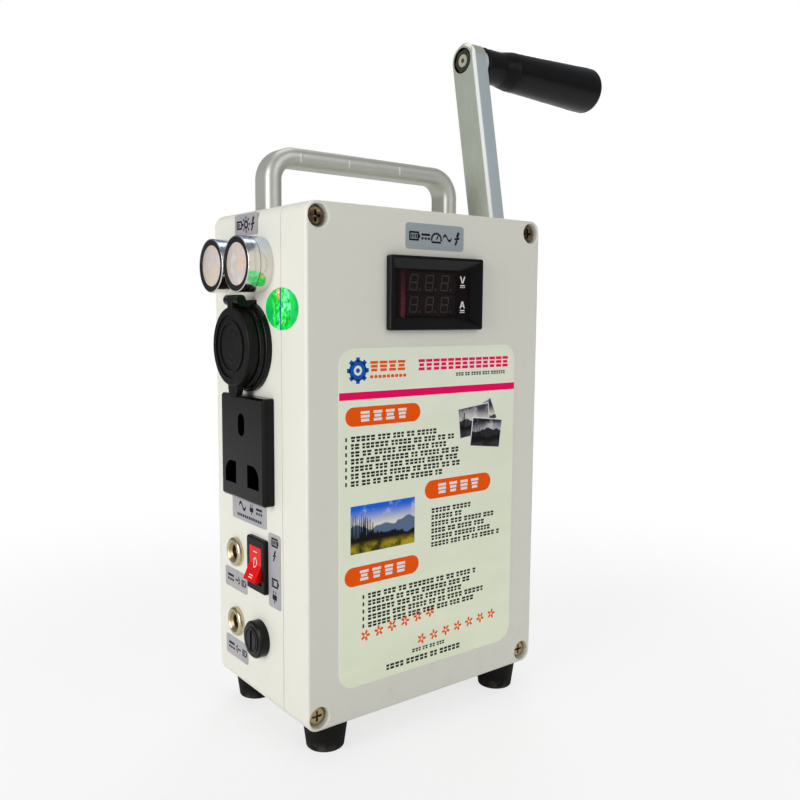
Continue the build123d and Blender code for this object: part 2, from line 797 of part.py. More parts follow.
def outlet_contacts():
    """A brass clip for each pole: two leaves on a foot, with a tab through the back of the housing."""
    foot_end = left + outlet_body_depth - 1.5
    reach = outlet_pole_height / 2
    contacts = []
    for y, z in outlet_poles():
        foot = along_x(foot_end - contact_thickness, foot_end, y, z, Rectangle(8.0, 2 * reach))
        for side in (-1, 1):
            leaf_z = z + side * (reach + contact_thickness / 2)
            foot += along_x(left + 2, foot_end, y, leaf_z, Rectangle(8.0, contact_thickness))
        contacts.append(foot + along_x(foot_end - contact_thickness, foot_end + 9, y, z, contact_tab(0)))
    return contacts


# Rocker switch

def rocker_blades(gap):
    blade = Rectangle(4.8 + 2 * gap, 0.8 + 2 * gap)
    end = left + rocker_body_depth
    return [along_x(end - 3, end + 8, rocker_y, rocker_z + dz, blade) for dz in (-6.5, 0, 6.5)]


def rocker_frame():
    rim = left - rocker_proud
    bezel = along_x(rim, left, rocker_y, rocker_z, RectangleRounded(rocker_width, rocker_height, 1.0))
    bezel = chamfer(bezel.faces().sort_by(Axis.X)[0].edges(), 0.5)
    end = left + rocker_body_depth
    frame = bezel + along_x(left, end, rocker_y, rocker_z, Rectangle(rocker_body_width, rocker_body_height))
    frame -= along_x(rim, end - 1.5, rocker_y, rocker_z, Rectangle(rocker_opening_width, rocker_opening_height))
    pin_hole = Circle(rocker_pin_radius + running_gap)
    reach = rocker_opening_width / 2 + rocker_pin_reach
    frame -= along_y(rocker_y - reach, rocker_y + reach, rocker_pivot_x, rocker_z, pin_hole)
    return frame - rocker_blades(running_gap)


def rocker_key():
    """The red key: two faces that meet in a shallow V, on a pin, pressed in at its upper end."""
    swing = rocker_opening_height / 2 - slip_gap
    face_height = rocker_pivot_depth
    end_height = face_height + swing * tan(radians(rocker_tilt))
    depth = 5.5
    wedge = make_face(Polyline(
        (-face_height, 0), (-end_height, swing), (depth, swing * 0.45), (depth, -swing * 0.45), (-end_height, -swing),
        close=True,
    ))
    profile = wedge & Circle(swing)
    half = rocker_opening_width / 2 - 0.2
    plane = Plane(origin=(0, half, 0), x_dir=(1, 0, 0), z_dir=(0, -1, 0))
    key = extrude(plane * profile, amount=2 * half)
    pin_half = rocker_opening_width / 2 + rocker_pin_reach - slip_gap
    key += along_y(-pin_half, pin_half, 0, 0, Circle(rocker_pin_radius))
    return Pos(rocker_pivot_x, rocker_y, rocker_z) * Rot(0, rocker_tilt, 0) * key


def rocker_terminals():
    return rocker_blades(0)


# Jacks

def jack_bodies():
    start = left - jack_nut_height + 0.5
    bodies = []
    for rise in jack_rises:
        z = base + rise
        body = along_x(start, inner_left, jack_y, z, Circle(jack_barrel_radius))
        body += along_x(inner_left, left + jack_depth, jack_y, z, Circle(jack_shoulder_radius))
        body -= along_x(start, start + jack_bore_depth, jack_y, z, Circle(jack_bore_radius))
        mouth = ring_edges(body, Axis.X, start).sort_by(SortBy.RADIUS)[0]
        bodies.append(chamfer(mouth, jack_funnel))
    return bodies


def jack_nuts():
    start = left - jack_nut_height
    nuts = []
    for rise in jack_rises:
        nut = along_x(start, left, jack_y, base + rise, Circle(jack_nut_radius))
        nut = fillet(ring_edges(nut, Axis.X, start), 1.4)
        nut -= along_x(start, left, jack_y, base + rise, Circle(jack_barrel_radius + thread_gap))
        nuts.append(chamfer(ring_edges(nut, Axis.X, start).sort_by(SortBy.RADIUS)[0], 0.5))
    return nuts


def jack_pins():
    bottom = left - jack_nut_height + 0.5 + jack_bore_depth
    pins = []
    for rise in jack_rises:
        pin = along_x(bottom - jack_bore_depth + 1.5, bottom, jack_y, base + rise, Circle(jack_pin_radius))
        pins.append(fillet(ring_edges(pin, Axis.X, bottom - jack_bore_depth + 1.5), 0.5))
    return pins


# Fuse

def fuse_cap_start():
    return left - fuse_proud - fuse_cap_proud


def fuse_holder():
    rim = left - fuse_proud
    body = along_x(rim, left, fuse_y, fuse_z, Circle(fuse_flange_radius))
    body = chamfer(ring_edges(body, Axis.X, rim), 0.7)
    body += along_x(left, left + fuse_depth, fuse_y, fuse_z, Circle(panel_thread_radius))
    cap_seat = fuse_cap_start() + fuse_cap_height + seat_gap
    body -= along_x(rim, cap_seat, fuse_y, fuse_z, Circle(fuse_cap_radius + running_gap))
    return body - along_x(rim, left + fuse_depth - 3, fuse_y, fuse_z, Circle(fuse_carrier_radius + slip_gap))


def fuse_cap():
    start = fuse_cap_start()
    end = start + fuse_cap_height
    cap = along_x(start, end, fuse_y, fuse_z, Circle(fuse_cap_radius))
    cap = fillet(ring_edges(cap, Axis.X, start), 0.3)
    cap += along_x(end, end + fuse_carrier_length, fuse_y, fuse_z, Circle(fuse_carrier_radius))
    cap -= along_x(end, end + fuse_carrier_length, fuse_y, fuse_z, Circle(fuse_radius + running_gap))
    cap -= along_x(start, start + 0.4, fuse_y, fuse_z, Circle(fuse_cap_radius - 0.9) - Circle(fuse_cap_radius - 1.5))
    return cap - along_x(start, start + 1.6, fuse_y, fuse_z, Rectangle(1.5, 7.6))


def glass_fuse():
    """A glass tube with a metal cap on each end."""
    start = fuse_cap_start() + fuse_cap_height + seat_gap
    end = start + fuse_length
    tube = Circle(fuse_radius - 0.3) - Circle(fuse_radius - 0.9)
    cup = along_x(start, start + fuse_end_length, fuse_y, fuse_z, Circle(fuse_radius))
    cup -= along_x(start + 0.4, start + fuse_end_length, fuse_y, fuse_z, Circle(fuse_radius - 0.3))
    far_cup = along_x(end - fuse_end_length, end, fuse_y, fuse_z, Circle(fuse_radius))
    far_cup -= along_x(end - fuse_end_length, end - 0.4, fuse_y, fuse_z, Circle(fuse_radius - 0.3))
    return [along_x(start + 0.4, end - 0.4, fuse_y, fuse_z, tube), cup, far_cup]


# Gearbox frame

def spacer_heights():
    """The lower spacers stand under the rotor, the upper ones just clear of the crank gear."""
    reach = gear_module * (crank_gear_teeth / 2 + addendum) + spacer_radius + seat_gap
    return rotor_z - low_spacer_drop, crank_z + sqrt(reach**2 - spacer_y**2)


def spacer_places():
    return [(y, z) for y in (-spacer_y, spacer_y) for z in spacer_heights()]


def gear_plate(start):
    low, high = spacer_heights()
    bottom, height = low - spacer_edge, high - low + 2 * spacer_edge
    outline = RectangleRounded(2 * plate_half_width, height, 4.0)
    plate = along_x(start, start + plate_thickness, 0, bottom + height / 2, outline)
    hole = Circle(gearbox_screw_radius + slip_gap)
    plate -= [along_x(start, start + plate_thickness, y, z, hole) for y, z in spacer_places()]
    plate -= along_x(start, start + plate_thickness, 0, idler_z, Circle(axle_radius + thread_gap))
    return plate - along_x(start, start + plate_thickness, 0, crank_z, Circle(bush_radius + slip_gap))


def outer_gear_plate():
    return gear_plate(outer_plate_x)


def inner_gear_plate():
    plate = gear_plate(inner_plate_x)
    plate -= along_x(inner_plate_x, gear_space_x, 0, rotor_z, Circle(can_boss_radius + slip_gap))
    hole = Circle(generator_screw_radius + slip_gap)
    sides = (-generator_screw_reach, generator_screw_reach)
    return plate - [along_x(inner_plate_x, gear_space_x, y, rotor_z, hole) for y in sides]


def gearbox_spacers():
    tube = Circle(spacer_radius) - Circle(gearbox_screw_radius + slip_gap)
    return [along_x(gear_space_x, outer_plate_x, y, z, tube) for y, z in spacer_places()]


def gearbox_screws():
    length = right - inner_plate_x - seat_gap
    screw = pan_screw(gearbox_screw_radius, length, gearbox_head_radius, gearbox_head_height)
    return [Pos(right, y, z) * Rot(0, 90, 0) * screw for y, z in spacer_places()]


def crank_bushes():
    """A flanged bush through the wall and the outer plate, and another in the inner plate."""
    bore = Circle(shaft_radius + running_gap)
    outer = along_x(right, right + bush_flange_height, 0, crank_z, Circle(bush_flange_radius))
    outer = fillet(ring_edges(outer, Axis.X, right + bush_flange_height), 0.8)
    outer += along_x(outer_plate_x, right, 0, crank_z, Circle(bush_radius))
    outer -= along_x(outer_plate_x, right + bush_flange_height, 0, crank_z, bore)
    flange_end = gear_space_x + inner_bush_flange_height
    inner = along_x(inner_plate_x, gear_space_x, 0, crank_z, Circle(bush_radius))
    inner += along_x(gear_space_x, flange_end, 0, crank_z, Circle(bush_radius + 1.5))
    return [outer, inner - along_x(inner_plate_x, flange_end, 0, crank_z, bore)]


def idler_axle():
    return along_x(inner_plate_x + seat_gap, inner_right - slip_gap, 0, idler_z, Circle(axle_radius))


# Gears

def crank_gear():
    gear = along_x(crank_gear_x, crank_gear_x + gear_face, 0, crank_z, gear_outline(crank_gear_teeth, -90))
    hub_start = gear_space_x + inner_bush_flange_height + seat_gap
    hub_end = outer_plate_x - seat_gap
    gear += along_x(hub_start, hub_end, 0, crank_z, Circle(gear_hub_radius))
    holes = around(6, 0.62 * gear_module * crank_gear_teeth / 2, Circle(3.6))
    gear -= along_x(crank_gear_x, crank_gear_x + gear_face, 0, crank_z, holes)
    return gear - along_x(hub_start, hub_end, 0, crank_z, Circle(shaft_radius + thread_gap))


def idler_gear():
    """The small pinion that the crank gear drives, and the larger gear beside it, in one piece."""
    half_tooth = 180 / idler_pinion_teeth
    hub_start, hub_end = gear_space_x + seat_gap, outer_plate_x - seat_gap
    gear_start = crank_gear_x - gear_end_gap - 1 - second_gear_face
    gear = along_x(hub_start, hub_end, 0, idler_z, Circle(4.0))
    pinion = gear_outline(idler_pinion_teeth, 90 + half_tooth)
    gear += along_x(crank_gear_x - gear_end_gap, hub_end, 0, idler_z, pinion)
    gear += along_x(gear_start, gear_start + second_gear_face, 0, idler_z, gear_outline(idler_gear_teeth, -90))
    return gear - along_x(hub_start, hub_end, 0, idler_z, Circle(axle_radius + running_gap))


def rotor_pinion():
    half_tooth = 180 / rotor_pinion_teeth
    gear_start = crank_gear_x - gear_end_gap - 1 - second_gear_face
    pinion = gear_outline(rotor_pinion_teeth, 90 + half_tooth) - Circle(rotor_shaft_radius + thread_gap)
    return along_x(gear_start - 0.5, gear_start + second_gear_face + 0.5, 0, rotor_z, pinion)


# Crank

def crank_place():
    """Moves a piece drawn about an upright crank to the crank as it stands, leaning back."""
    return Pos(0, 0, crank_z) * Rot(-crank_lean, 0, 0)


def crank_shaft():
    start = inner_plate_x - 0.5
    end = arm_x + arm_thickness - 0.3
    shaft = along_x(start, end, 0, 0, Circle(shaft_radius))
    collar_start = right + bush_flange_height + seat_gap
    shaft += along_x(collar_start, arm_x, 0, 0, Circle(shaft_collar_radius))
    thread = Circle(hub_screw_radius + thread_gap)
    return crank_place() * (shaft - along_x(end - hub_screw_length - 1, end, 0, 0, thread))


def crank_arm():
    outline = Pos(0, arm_length / 2) * SlotOverall(arm_length + arm_width, arm_width, rotation=90)
    arm = along_x(arm_x, arm_x + arm_thickness, 0, 0, outline)
    arm = chamfer(arm.faces().filter_by(Axis.X).edges(), arm_edge)
    arm -= along_x(arm_x, arm_x + arm_thickness, 0, 0, Circle(shaft_radius + thread_gap))
    arm -= along_x(arm_x, arm_x + arm_thickness, 0, arm_length, Circle(spindle_radius + thread_gap))
    return crank_place() * (arm - along_x(arm_x, arm_x + nut_pocket_depth, 0, arm_length, Circle(nut_pocket_radius)))


def hub_screw():
    face = arm_x + arm_thickness
    head = along_x(face, face + hub_head_height, 0, 0, Circle(hub_head_radius))
    head = fillet(ring_edges(head, Axis.X, face + hub_head_height), 1.4)
    head -= along_x(face + 1.0, face + hub_head_height, 0, 0, hexagon(4.0))
    return crank_place() * (head + along_x(face - 0.3 - hub_screw_length, face, 0, 0, Circle(hub_screw_radius)))


def grip_start():
    return arm_x + arm_thickness + spindle_collar_height + seat_gap


def grip_end():
    return arm_x + arm_thickness + grip_length


def grip_spindle():
    start = arm_x + nut_pocket_depth - spindle_nut_height - 0.2
    face = arm_x + arm_thickness
    head_start = grip_end() - grip_plug_depth - spindle_head_height
    rod = along_x(start, head_start, 0, arm_length, Circle(spindle_radius))
    rod += along_x(face, face + spindle_collar_height, 0, arm_length, Circle(spindle_collar_radius))
    rod += along_x(head_start, head_start + spindle_head_height, 0, arm_length, Circle(spindle_head_radius))
    return crank_place() * rod


def spindle_nut():
    nut = hexagon(spindle_nut_flats) - Circle(spindle_radius + thread_gap)
    pocket_floor = arm_x + nut_pocket_depth
    return crank_place() * along_x(pocket_floor - spindle_nut_height, pocket_floor, 0, arm_length, nut)


def grip_sleeve():
    """The turning grip: a plain neck, then a body that swells towards its rounded end."""
    start, end = grip_start(), grip_end()
    neck_end = arm_x + arm_thickness + grip_neck_length
    sleeve = turned_x([
        (start, 0), (start, grip_neck_radius), (neck_end, grip_neck_radius),
        (neck_end + grip_shoulder_length, grip_start_radius), (end - 8.0, grip_end_radius),
        (end, grip_end_radius), (end, 0),
    ], 0, arm_length)
    sleeve = fillet(ring_edges(sleeve, Axis.X, end), grip_end_round)
    head_seat = end - grip_plug_depth - spindle_head_height - seat_gap
    sleeve -= along_x(start, end, 0, arm_length, Circle(spindle_radius + running_gap))
    return crank_place() * (sleeve - along_x(head_seat, end, 0, arm_length, Circle(grip_plug_radius)))


def grip_plug():
    end = grip_end()
    plug = along_x(end - grip_plug_depth + seat_gap, end, 0, arm_length, Circle(grip_plug_radius - running_gap))
    return crank_place() * plug


# Generator

def generator_can():
    can = along_x(can_x, inner_plate_x, 0, rotor_z, Circle(can_radius))
    can = fillet(ring_edges(can, Axis.X, inner_plate_x), 1.0)
    can += along_x(inner_plate_x, gear_space_x, 0, rotor_z, Circle(can_boss_radius))
    can -= along_x(can_x, inner_plate_x - can_face, 0, rotor_z, Circle(can_radius - can_wall))
    can -= along_x(inner_plate_x - can_face, gear_space_x, 0, rotor_z, Circle(rotor_shaft_radius + running_gap))
    hole = Circle(generator_screw_radius + thread_gap)
    sides = (-generator_screw_reach, generator_screw_reach)
    return can - [along_x(inner_plate_x - can_face, inner_plate_x, y, rotor_z, hole) for y in sides]


def magnet_ring():
    outer = can_radius - can_wall - slip_gap
    return outer, outer - magnet_thickness


def core_start():
    return can_x + end_cap_thickness + seat_gap + commutator_length + winding_length


def generator_magnets():
    outer, inner = magnet_ring()
    middle = core_start() + core_length / 2
    ring = along_x(middle - magnet_length / 2, middle + magnet_length / 2, 0, rotor_z, Circle(outer) - Circle(inner))
    gap_angle = 180 - magnet_angle
    reach = can_radius * 2
    half = radians(gap_angle / 2)
    wedge = make_face(Polyline(
        (0, 0), (reach * sin(half), reach * cos(half)), (-reach * sin(half), reach * cos(half)), close=True
    ))
    cut = along_x(can_x, inner_plate_x, 0, rotor_z, wedge + Rot(0, 0, 180) * wedge)
    return (ring - cut).solids()


def generator_end_cap():
    face = can_x + end_cap_thickness
    disc = along_x(can_x, face, 0, rotor_z, Circle(can_radius - can_wall - running_gap))
    disc += along_x(can_x - end_boss_length, can_x, 0, rotor_z, Circle(can_boss_radius))
    return disc - along_x(can_x - end_boss_length, face, 0, rotor_z, Circle(rotor_shaft_radius + running_gap))


def armature():
    """Shaft, slotted core, its winding heads and the commutator, turning as one."""
    core_radius = magnet_ring()[1] - air_gap
    start, end = core_start(), core_start() + core_length
    slots = around(core_slots, core_radius, Rectangle(8.0, core_slot_width))
    rotor = along_x(start, end, 0, rotor_z, Circle(core_radius) - slots)
    rotor += along_x(start - winding_length, end + winding_length, 0, rotor_z, Circle(winding_radius))
    head = start - winding_length
    rotor += along_x(head - commutator_length, head, 0, rotor_z, Circle(commutator_radius))
    shaft_end = crank_gear_x - gear_end_gap - 0.2
    return rotor + along_x(can_x - end_boss_length, shaft_end, 0, rotor_z, Circle(rotor_shaft_radius))


def generator_screws():
    length = plate_thickness + can_face
    screw = pan_screw(generator_screw_radius, length, generator_head_radius, generator_head_height)
    sides = (-generator_screw_reach, generator_screw_reach)
    return [Pos(gear_space_x, y, rotor_z) * Rot(0, 90, 0) * screw for y in sides]


# Battery

def cell_places():
    pack_width, pack_depth = cells_wide * cell_pitch, cells_deep * cell_pitch
    start_x = pack_middle_x - pack_width / 2 + cell_pitch / 2
    start_y = inner_back - seat_gap - pack_depth + cell_pitch / 2
    columns = [start_x + i * cell_pitch for i in range(cells_wide)]
    rows = [start_y + j * cell_pitch for j in range(cells_deep)]
    return [(x, y) for x in columns for y in rows]


def battery_cells():
    bottom = inner_base + holder_floor
    cells = []
    for x, y in cell_places():
        cell = along_z(bottom, bottom + cell_length, x, y, Circle(cell_radius))
        cells.append(fillet(cell.edges().filter_by(GeomType.CIRCLE), 0.6))
    return cells


def battery_holders():
    """A lower and an upper frame with a round pocket for the end of each cell."""
    width, depth = cells_wide * cell_pitch, cells_deep * cell_pitch
    middle_y = inner_back - seat_gap - depth / 2
    top_of_pack = inner_base + 2 * holder_floor + cell_length
    holders = []
    for low, pocket_low in ((inner_base, inner_base + holder_floor), (top_of_pack - holder_height, 0)):
        frame = along_z(low, low + holder_height, pack_middle_x, middle_y, RectangleRounded(width, depth, 2.0))
        pocket_start = pocket_low if pocket_low else low
        pocket_end = pocket_start + holder_height - holder_floor
        pocket = Circle(cell_radius + slip_gap)
        frame -= [along_z(pocket_start, pocket_end, x, y, pocket) for x, y in cell_places()]
        holders.append(frame)
    return holders


# Circuit boards

def board_corners(x, z, width, height):
    dx, dz = width / 2 - standoff_inset, height / 2 - standoff_inset
    return [(x + i * dx, z + j * dz) for i in (-1, 1) for j in (-1, 1)]


def inverter_place():
    return 0.0, base + inverter_board_rise + inverter_board_height / 2


def charge_place():
    return left + 13 + charge_board_width / 2, base + charge_board_rise + charge_board_height / 2


def inverter_board():
    """The board that makes mains voltage, with its transformer, heat sink and capacitors."""
    x, z = inverter_place()
    back_face = inner_front + inverter_standoff
    front_face = back_face + board_thickness
    board = along_y(back_face, front_face, x, z, Rectangle(inverter_board_width, inverter_board_height))
    hole = Circle(standoff_neck_radius + slip_gap)
    corners_here = board_corners(x, z, inverter_board_width, inverter_board_height)
    board -= [along_y(back_face, front_face, cx, cz, hole) for cx, cz in corners_here]
    core = along_y(front_face, front_face + 16, x - 16, z + 8, Rectangle(28, 24))
    core += along_y(front_face + 2, front_face + 14, x - 16, z + 8, RectangleRounded(20, 32, 3))
    sink = along_y(front_face, front_face + 15, x + 20, z + 14, Rectangle(30, 24))
    gap = Rectangle(2.6, 24)
    sink -= [along_y(front_face + 3, front_face + 15, x + 8.5 + i * 4.6, z + 14, gap) for i in range(6)]
    can = Circle(5.0)
    cans = [along_y(front_face, front_face + 15, x + dx, z - 20, can) for dx in (-22, -8, 6, 20)]
    return [board, core, sink] + cans


def charge_board():
    """The charging board on the back wall, with its coil and two power parts."""
    x, z = charge_place()
    front_face = inner_back - charge_standoff - board_thickness
    outline = Rectangle(charge_board_width, charge_board_height)
    board = along_y(front_face, front_face + board_thickness, x, z, outline)
    hole = Circle(standoff_neck_radius + slip_gap)
    corners_here = board_corners(x, z, charge_board_width, charge_board_height)
    board -= [along_y(front_face, front_face + board_thickness, cx, cz, hole) for cx, cz in corners_here]
    coil = along_y(front_face - 7, front_face, x + 7, z + 8, Circle(6.0) - Circle(2.5))
    power_parts = [along_y(front_face - 3, front_face, x + 6, z + dz, Rectangle(8, 8)) for dz in (-8, -20)]
    return [board, coil] + power_parts


def board_standoffs():
    """Nylon supports with a snap head, four for each board."""
    supports = []
    x, z = inverter_place()
    for cx, cz in board_corners(x, z, inverter_board_width, inverter_board_height):
        seat = inner_front + inverter_standoff
        post = along_y(inner_front, seat, cx, cz, Circle(standoff_radius))
        post += along_y(seat, seat + board_thickness + 2, cx, cz, Circle(standoff_neck_radius))
        supports.append(post)
    x, z = charge_place()
    for cx, cz in board_corners(x, z, charge_board_width, charge_board_height):
        seat = inner_back - charge_standoff
        post = along_y(seat, inner_back, cx, cz, Circle(standoff_radius))
        post += along_y(seat - board_thickness - 2, seat, cx, cz, Circle(standoff_neck_radius))
        supports.append(post)
    return supports


pieces = [
    front_cover, rear_case, cover_gasket, cover_screws, rubber_feet, pan_screws, carry_handle,
    meter_housing, meter_window, meter_board, spec_sticker, port_labels, seal_sticker,
    lamp_bodies, lamp_rings, lamp_lenses, lamp_boards, panel_nuts,
    usb_socket, usb_module, usb_nut, usb_cap, usb_cap_pin, outlet_housing, outlet_contacts,
    rocker_frame, rocker_key, rocker_terminals, jack_bodies, jack_nuts, jack_pins,
    fuse_holder, fuse_cap, glass_fuse,
    outer_gear_plate, inner_gear_plate, gearbox_spacers, gearbox_screws, crank_bushes,
    crank_shaft, crank_gear, crank_arm, hub_screw, grip_sleeve, grip_plug, grip_spindle, spindle_nut,
    idler_gear, idler_axle, rotor_pinion, generator_can, generator_magnets, generator_end_cap, armature,
    generator_screws, battery_cells, battery_holders, inverter_board, charge_board, board_standoffs,
]

os.makedirs("parts", exist_ok=True)
for make_piece in pieces:
    made = make_piece()
    solids = [s for item in (made if isinstance(made, list) else [made]) for s in item.solids()]
    shape = solids[0] if len(solids) == 1 else Compound(children=solids)
    export_step(shape, f"parts/{make_piece.__name__}.step")
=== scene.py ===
import bmesh
import bpy
import math
import random
from mathutils import Matrix, Vector


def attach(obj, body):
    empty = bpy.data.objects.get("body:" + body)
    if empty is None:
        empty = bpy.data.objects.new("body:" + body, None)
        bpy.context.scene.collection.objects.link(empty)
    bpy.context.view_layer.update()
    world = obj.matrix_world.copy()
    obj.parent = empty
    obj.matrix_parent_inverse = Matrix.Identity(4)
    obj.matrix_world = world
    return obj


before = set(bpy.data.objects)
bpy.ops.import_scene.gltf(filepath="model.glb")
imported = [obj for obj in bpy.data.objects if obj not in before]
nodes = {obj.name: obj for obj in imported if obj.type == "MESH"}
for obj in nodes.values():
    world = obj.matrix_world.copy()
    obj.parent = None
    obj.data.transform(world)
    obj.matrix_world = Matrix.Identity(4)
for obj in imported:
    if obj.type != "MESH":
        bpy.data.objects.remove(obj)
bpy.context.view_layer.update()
MM = 0.001


# The camera stands out to the left and in front of the box, as high as the meter and about 37 cm
# from the middle of the box, tipped down by six degrees.
camera = bpy.data.objects.new("camera", bpy.data.cameras.new("camera"))
camera.data.lens = 37.852
camera.data.sensor_width = 36
camera.data.clip_start = 0.01
camera.matrix_world = (
    Matrix.Translation(Vector((-218.528, -298.713, 171.417)) * MM)
    @ Matrix.Rotation(math.radians(-37.639), 4, "Z")
    @ Matrix.Rotation(math.radians(90 - 6.020), 4, "X")
    @ Matrix.Rotation(math.radians(0.4166), 4, "Z")
)
bpy.context.scene.collection.objects.link(camera)
bpy.context.scene.camera = camera
bpy.context.scene.view_settings.view_transform = "Standard"


# The shader sums of every finish are written as plain expressions on wires, and each finish
# starts from the object's own coordinates, in millimetres, so that a pattern has its real scale.
class Wire:
    def __init__(self, finish, socket):
        self.finish, self.socket = finish, socket

    def math(self, operation, *others):
        values = dict(enumerate((self, *others)))
        return self.finish.node("Math", {"operation": operation}, values)

    def __add__(self, other):
        return self.math("ADD", other)

    def __sub__(self, other):
        return self.math("SUBTRACT", other)

    def __rsub__(self, other):
        return (self * -1) + other

    def __mul__(self, other):
        return self.math("MULTIPLY", other)

    def __gt__(self, other):
        return self.math("GREATER_THAN", other)

    def __lt__(self, other):
        return self.math("LESS_THAN", other)

    __radd__, __rmul__ = __add__, __mul__

    def size(self):
        return self.math("ABSOLUTE")

    def ramp(self, low, high):
        """0 below low, 1 above high and a smooth rise between them."""
        values = {"Value": self, "From Min": low, "From Max": high}
        return self.finish.node("MapRange", {"interpolation_type": "SMOOTHSTEP"}, values)


class Finish:
    def __init__(self, name):
        self.material = bpy.data.materials.new(name)
        self.material.use_nodes = True
        self.tree = self.material.node_tree
        self.shader = self.tree.nodes["Principled BSDF"]
        metres = self.node("TexCoord", output="Object")
        scaling = {"Vector": metres, "Scale": 1 / MM}
        self.place = self.node("VectorMath", {"operation": "SCALE"}, scaling)
        place = {"Vector": self.place}
        self.x, self.y, self.z = (
            self.node("SeparateXYZ", values=place, output=i) for i in range(3)
        )

    def node(self, kind, settings=None, values=None, output=0):
        made = self.tree.nodes.new("ShaderNode" + kind)
        for key, value in (settings or {}).items():
            if key == "stops":
                elements = made.color_ramp.elements
                for element in list(elements)[1:]:
                    elements.remove(element)
                for number, (position, colour) in enumerate(value):
                    element = elements.new(position) if number else elements[0]
                    element.position, element.color = position, (*colour, 1)
            else:
                setattr(made, key, value)
        for key, value in (values or {}).items():
            if isinstance(value, Wire):
                self.tree.links.new(value.socket, made.inputs[key])
            else:
                made.inputs[key].default_value = value
        return Wire(self, made.outputs[output])

    def noise(self, grain, detail=2.0, stretch=(1, 1, 1), roughness=0.5):
        """Cloudy noise from 0 to 1, with blotches about this many millimetres across."""
        place = self.place
        if stretch != (1, 1, 1):
            place = self.node("VectorMath", {"operation": "MULTIPLY"}, {0: place, 1: stretch})
        values = {"Vector": place, "Scale": 1 / grain, "Detail": detail, "Roughness": roughness}
        return self.node("TexNoise", values=values)

    def mix(self, mask, first, second):
        """The first colour where the mask is 0 and the second where it is 1."""
        colours = {6: first, 7: second, 0: mask}
        for key in (6, 7):
            if not isinstance(colours[key], Wire):
                colours[key] = (*colours[key], 1)
        return self.node("Mix", {"data_type": "RGBA"}, colours, output=2)

    def bump(self, height, depth):
        """Relief of this depth in millimetres, from a height between 0 and 1."""
        return self.node("Bump", values={"Height": height, "Distance": depth * MM, "Strength": 1.0})

    def from_axis(self, y, z):
        """Distance in millimetres from the line along X through this y and z."""
        off_y, off_z = self.y - y, self.z - z
        return (off_y * off_y + off_z * off_z).math("SQRT")

    def set(self, **sockets):
        for key, value in sockets.items():
            name = key.replace("_", " ").title().replace("Ior", "IOR")
            if isinstance(value, Wire):
                self.tree.links.new(value.socket, self.shader.inputs[name])
            else:
                if name == "Base Color":
                    value = (*value, 1)
                self.shader.inputs[name].default_value = value
        return self


def tint(red, green, blue):
    """A colour as it looks on a screen, from 0 to 255, in the linear light that shaders use."""
    levels = (level / 255 for level in (red, green, blue))
    return tuple(((c + 0.055) / 1.055) ** 2.4 if c > 0.04045 else c / 12.92 for c in levels)


def shade(colour, factor):
    return tuple(min(1.0, c * factor) for c in colour)


def wear(finish, *names):
    for name in names:
        materials = nodes[name].data.materials
        materials.clear()
        materials.append(finish.material)


# Plain white studio: a seamless pale floor that keeps a soft shadow, a big soft key in front, a
# second light square on the left wall, one over the handle and one behind, and a pale surround.
bpy.ops.mesh.primitive_plane_add(size=60)
floor = bpy.context.object
floor.name = "studio_floor"
floor_finish = Finish("studio_floor")
floor_finish.set(base_color=tint(246, 246, 246), roughness=0.75)
white = floor_finish.node("Emission", values={"Color": (1, 1, 1, 1), "Strength": 1.0})
away = floor_finish.node("VectorMath", {"operation": "LENGTH"}, {0: floor_finish.place}, output=1)
camera_ray = floor_finish.node("LightPath", output="Is Camera Ray")
whiteness = away.ramp(120.0, 420.0) * 0.28 + 0.72
seen = floor_finish.node("MixShader", values={0: camera_ray * whiteness, 2: white})
floor_finish.tree.links.new(floor_finish.shader.outputs[0], seen.socket.node.inputs[1])
floor_finish.tree.links.new(seen.socket, floor_finish.tree.nodes["Material Output"].inputs[0])
floor.data.materials.append(floor_finish.material)

world = bpy.data.worlds.new("studio")
bpy.context.scene.world = world
world.use_nodes = True
around = world.node_tree.nodes["Background"]
around.inputs[0].default_value = (0.93, 0.96, 1.0, 1)
around.inputs[1].default_value = 0.26
backdrop = world.node_tree.nodes.new("ShaderNodeBackground")
backdrop.inputs[0].default_value = (1, 1, 1, 1)
paths = world.node_tree.nodes.new("ShaderNodeLightPath")
choose = world.node_tree.nodes.new("ShaderNodeMixShader")
for source, target in (
    (paths.outputs["Is Camera Ray"], choose.inputs[0]),
    (around.outputs[0], choose.inputs[1]),
    (backdrop.outputs[0], choose.inputs[2]),
    (choose.outputs[0], world.node_tree.nodes["World Output"].inputs[0]),
):
    world.node_tree.links.new(source, target)


def lamp(name, place, aim, width, height, power):
    light = bpy.data.objects.new(name, bpy.data.lights.new(name, "AREA"))
    light.data.shape = "RECTANGLE"
    light.data.size, light.data.size_y = width, height
    light.data.energy = power
    light.location = place
    light.rotation_euler = (Vector(aim) - Vector(place)).to_track_quat("-Z", "Y").to_euler()
    bpy.context.scene.collection.objects.link(light)


lamp("key_light", (0.25, -1.25, 0.75), (0, 0, 0.13), 1.0, 0.8, 4.5)
lamp("left_fill", (-1.3, -0.15, 0.45), (0, 0, 0.12), 0.7, 0.9, 11.0)
lamp("top_light", (0.1, 0.25, 1.35), (0, 0, 0.15), 0.9, 0.9, 3.8)
lamp("back_rim", (0.9, 0.9, 0.6), (0.05, 0, 0.2), 0.6, 0.8, 5.0)


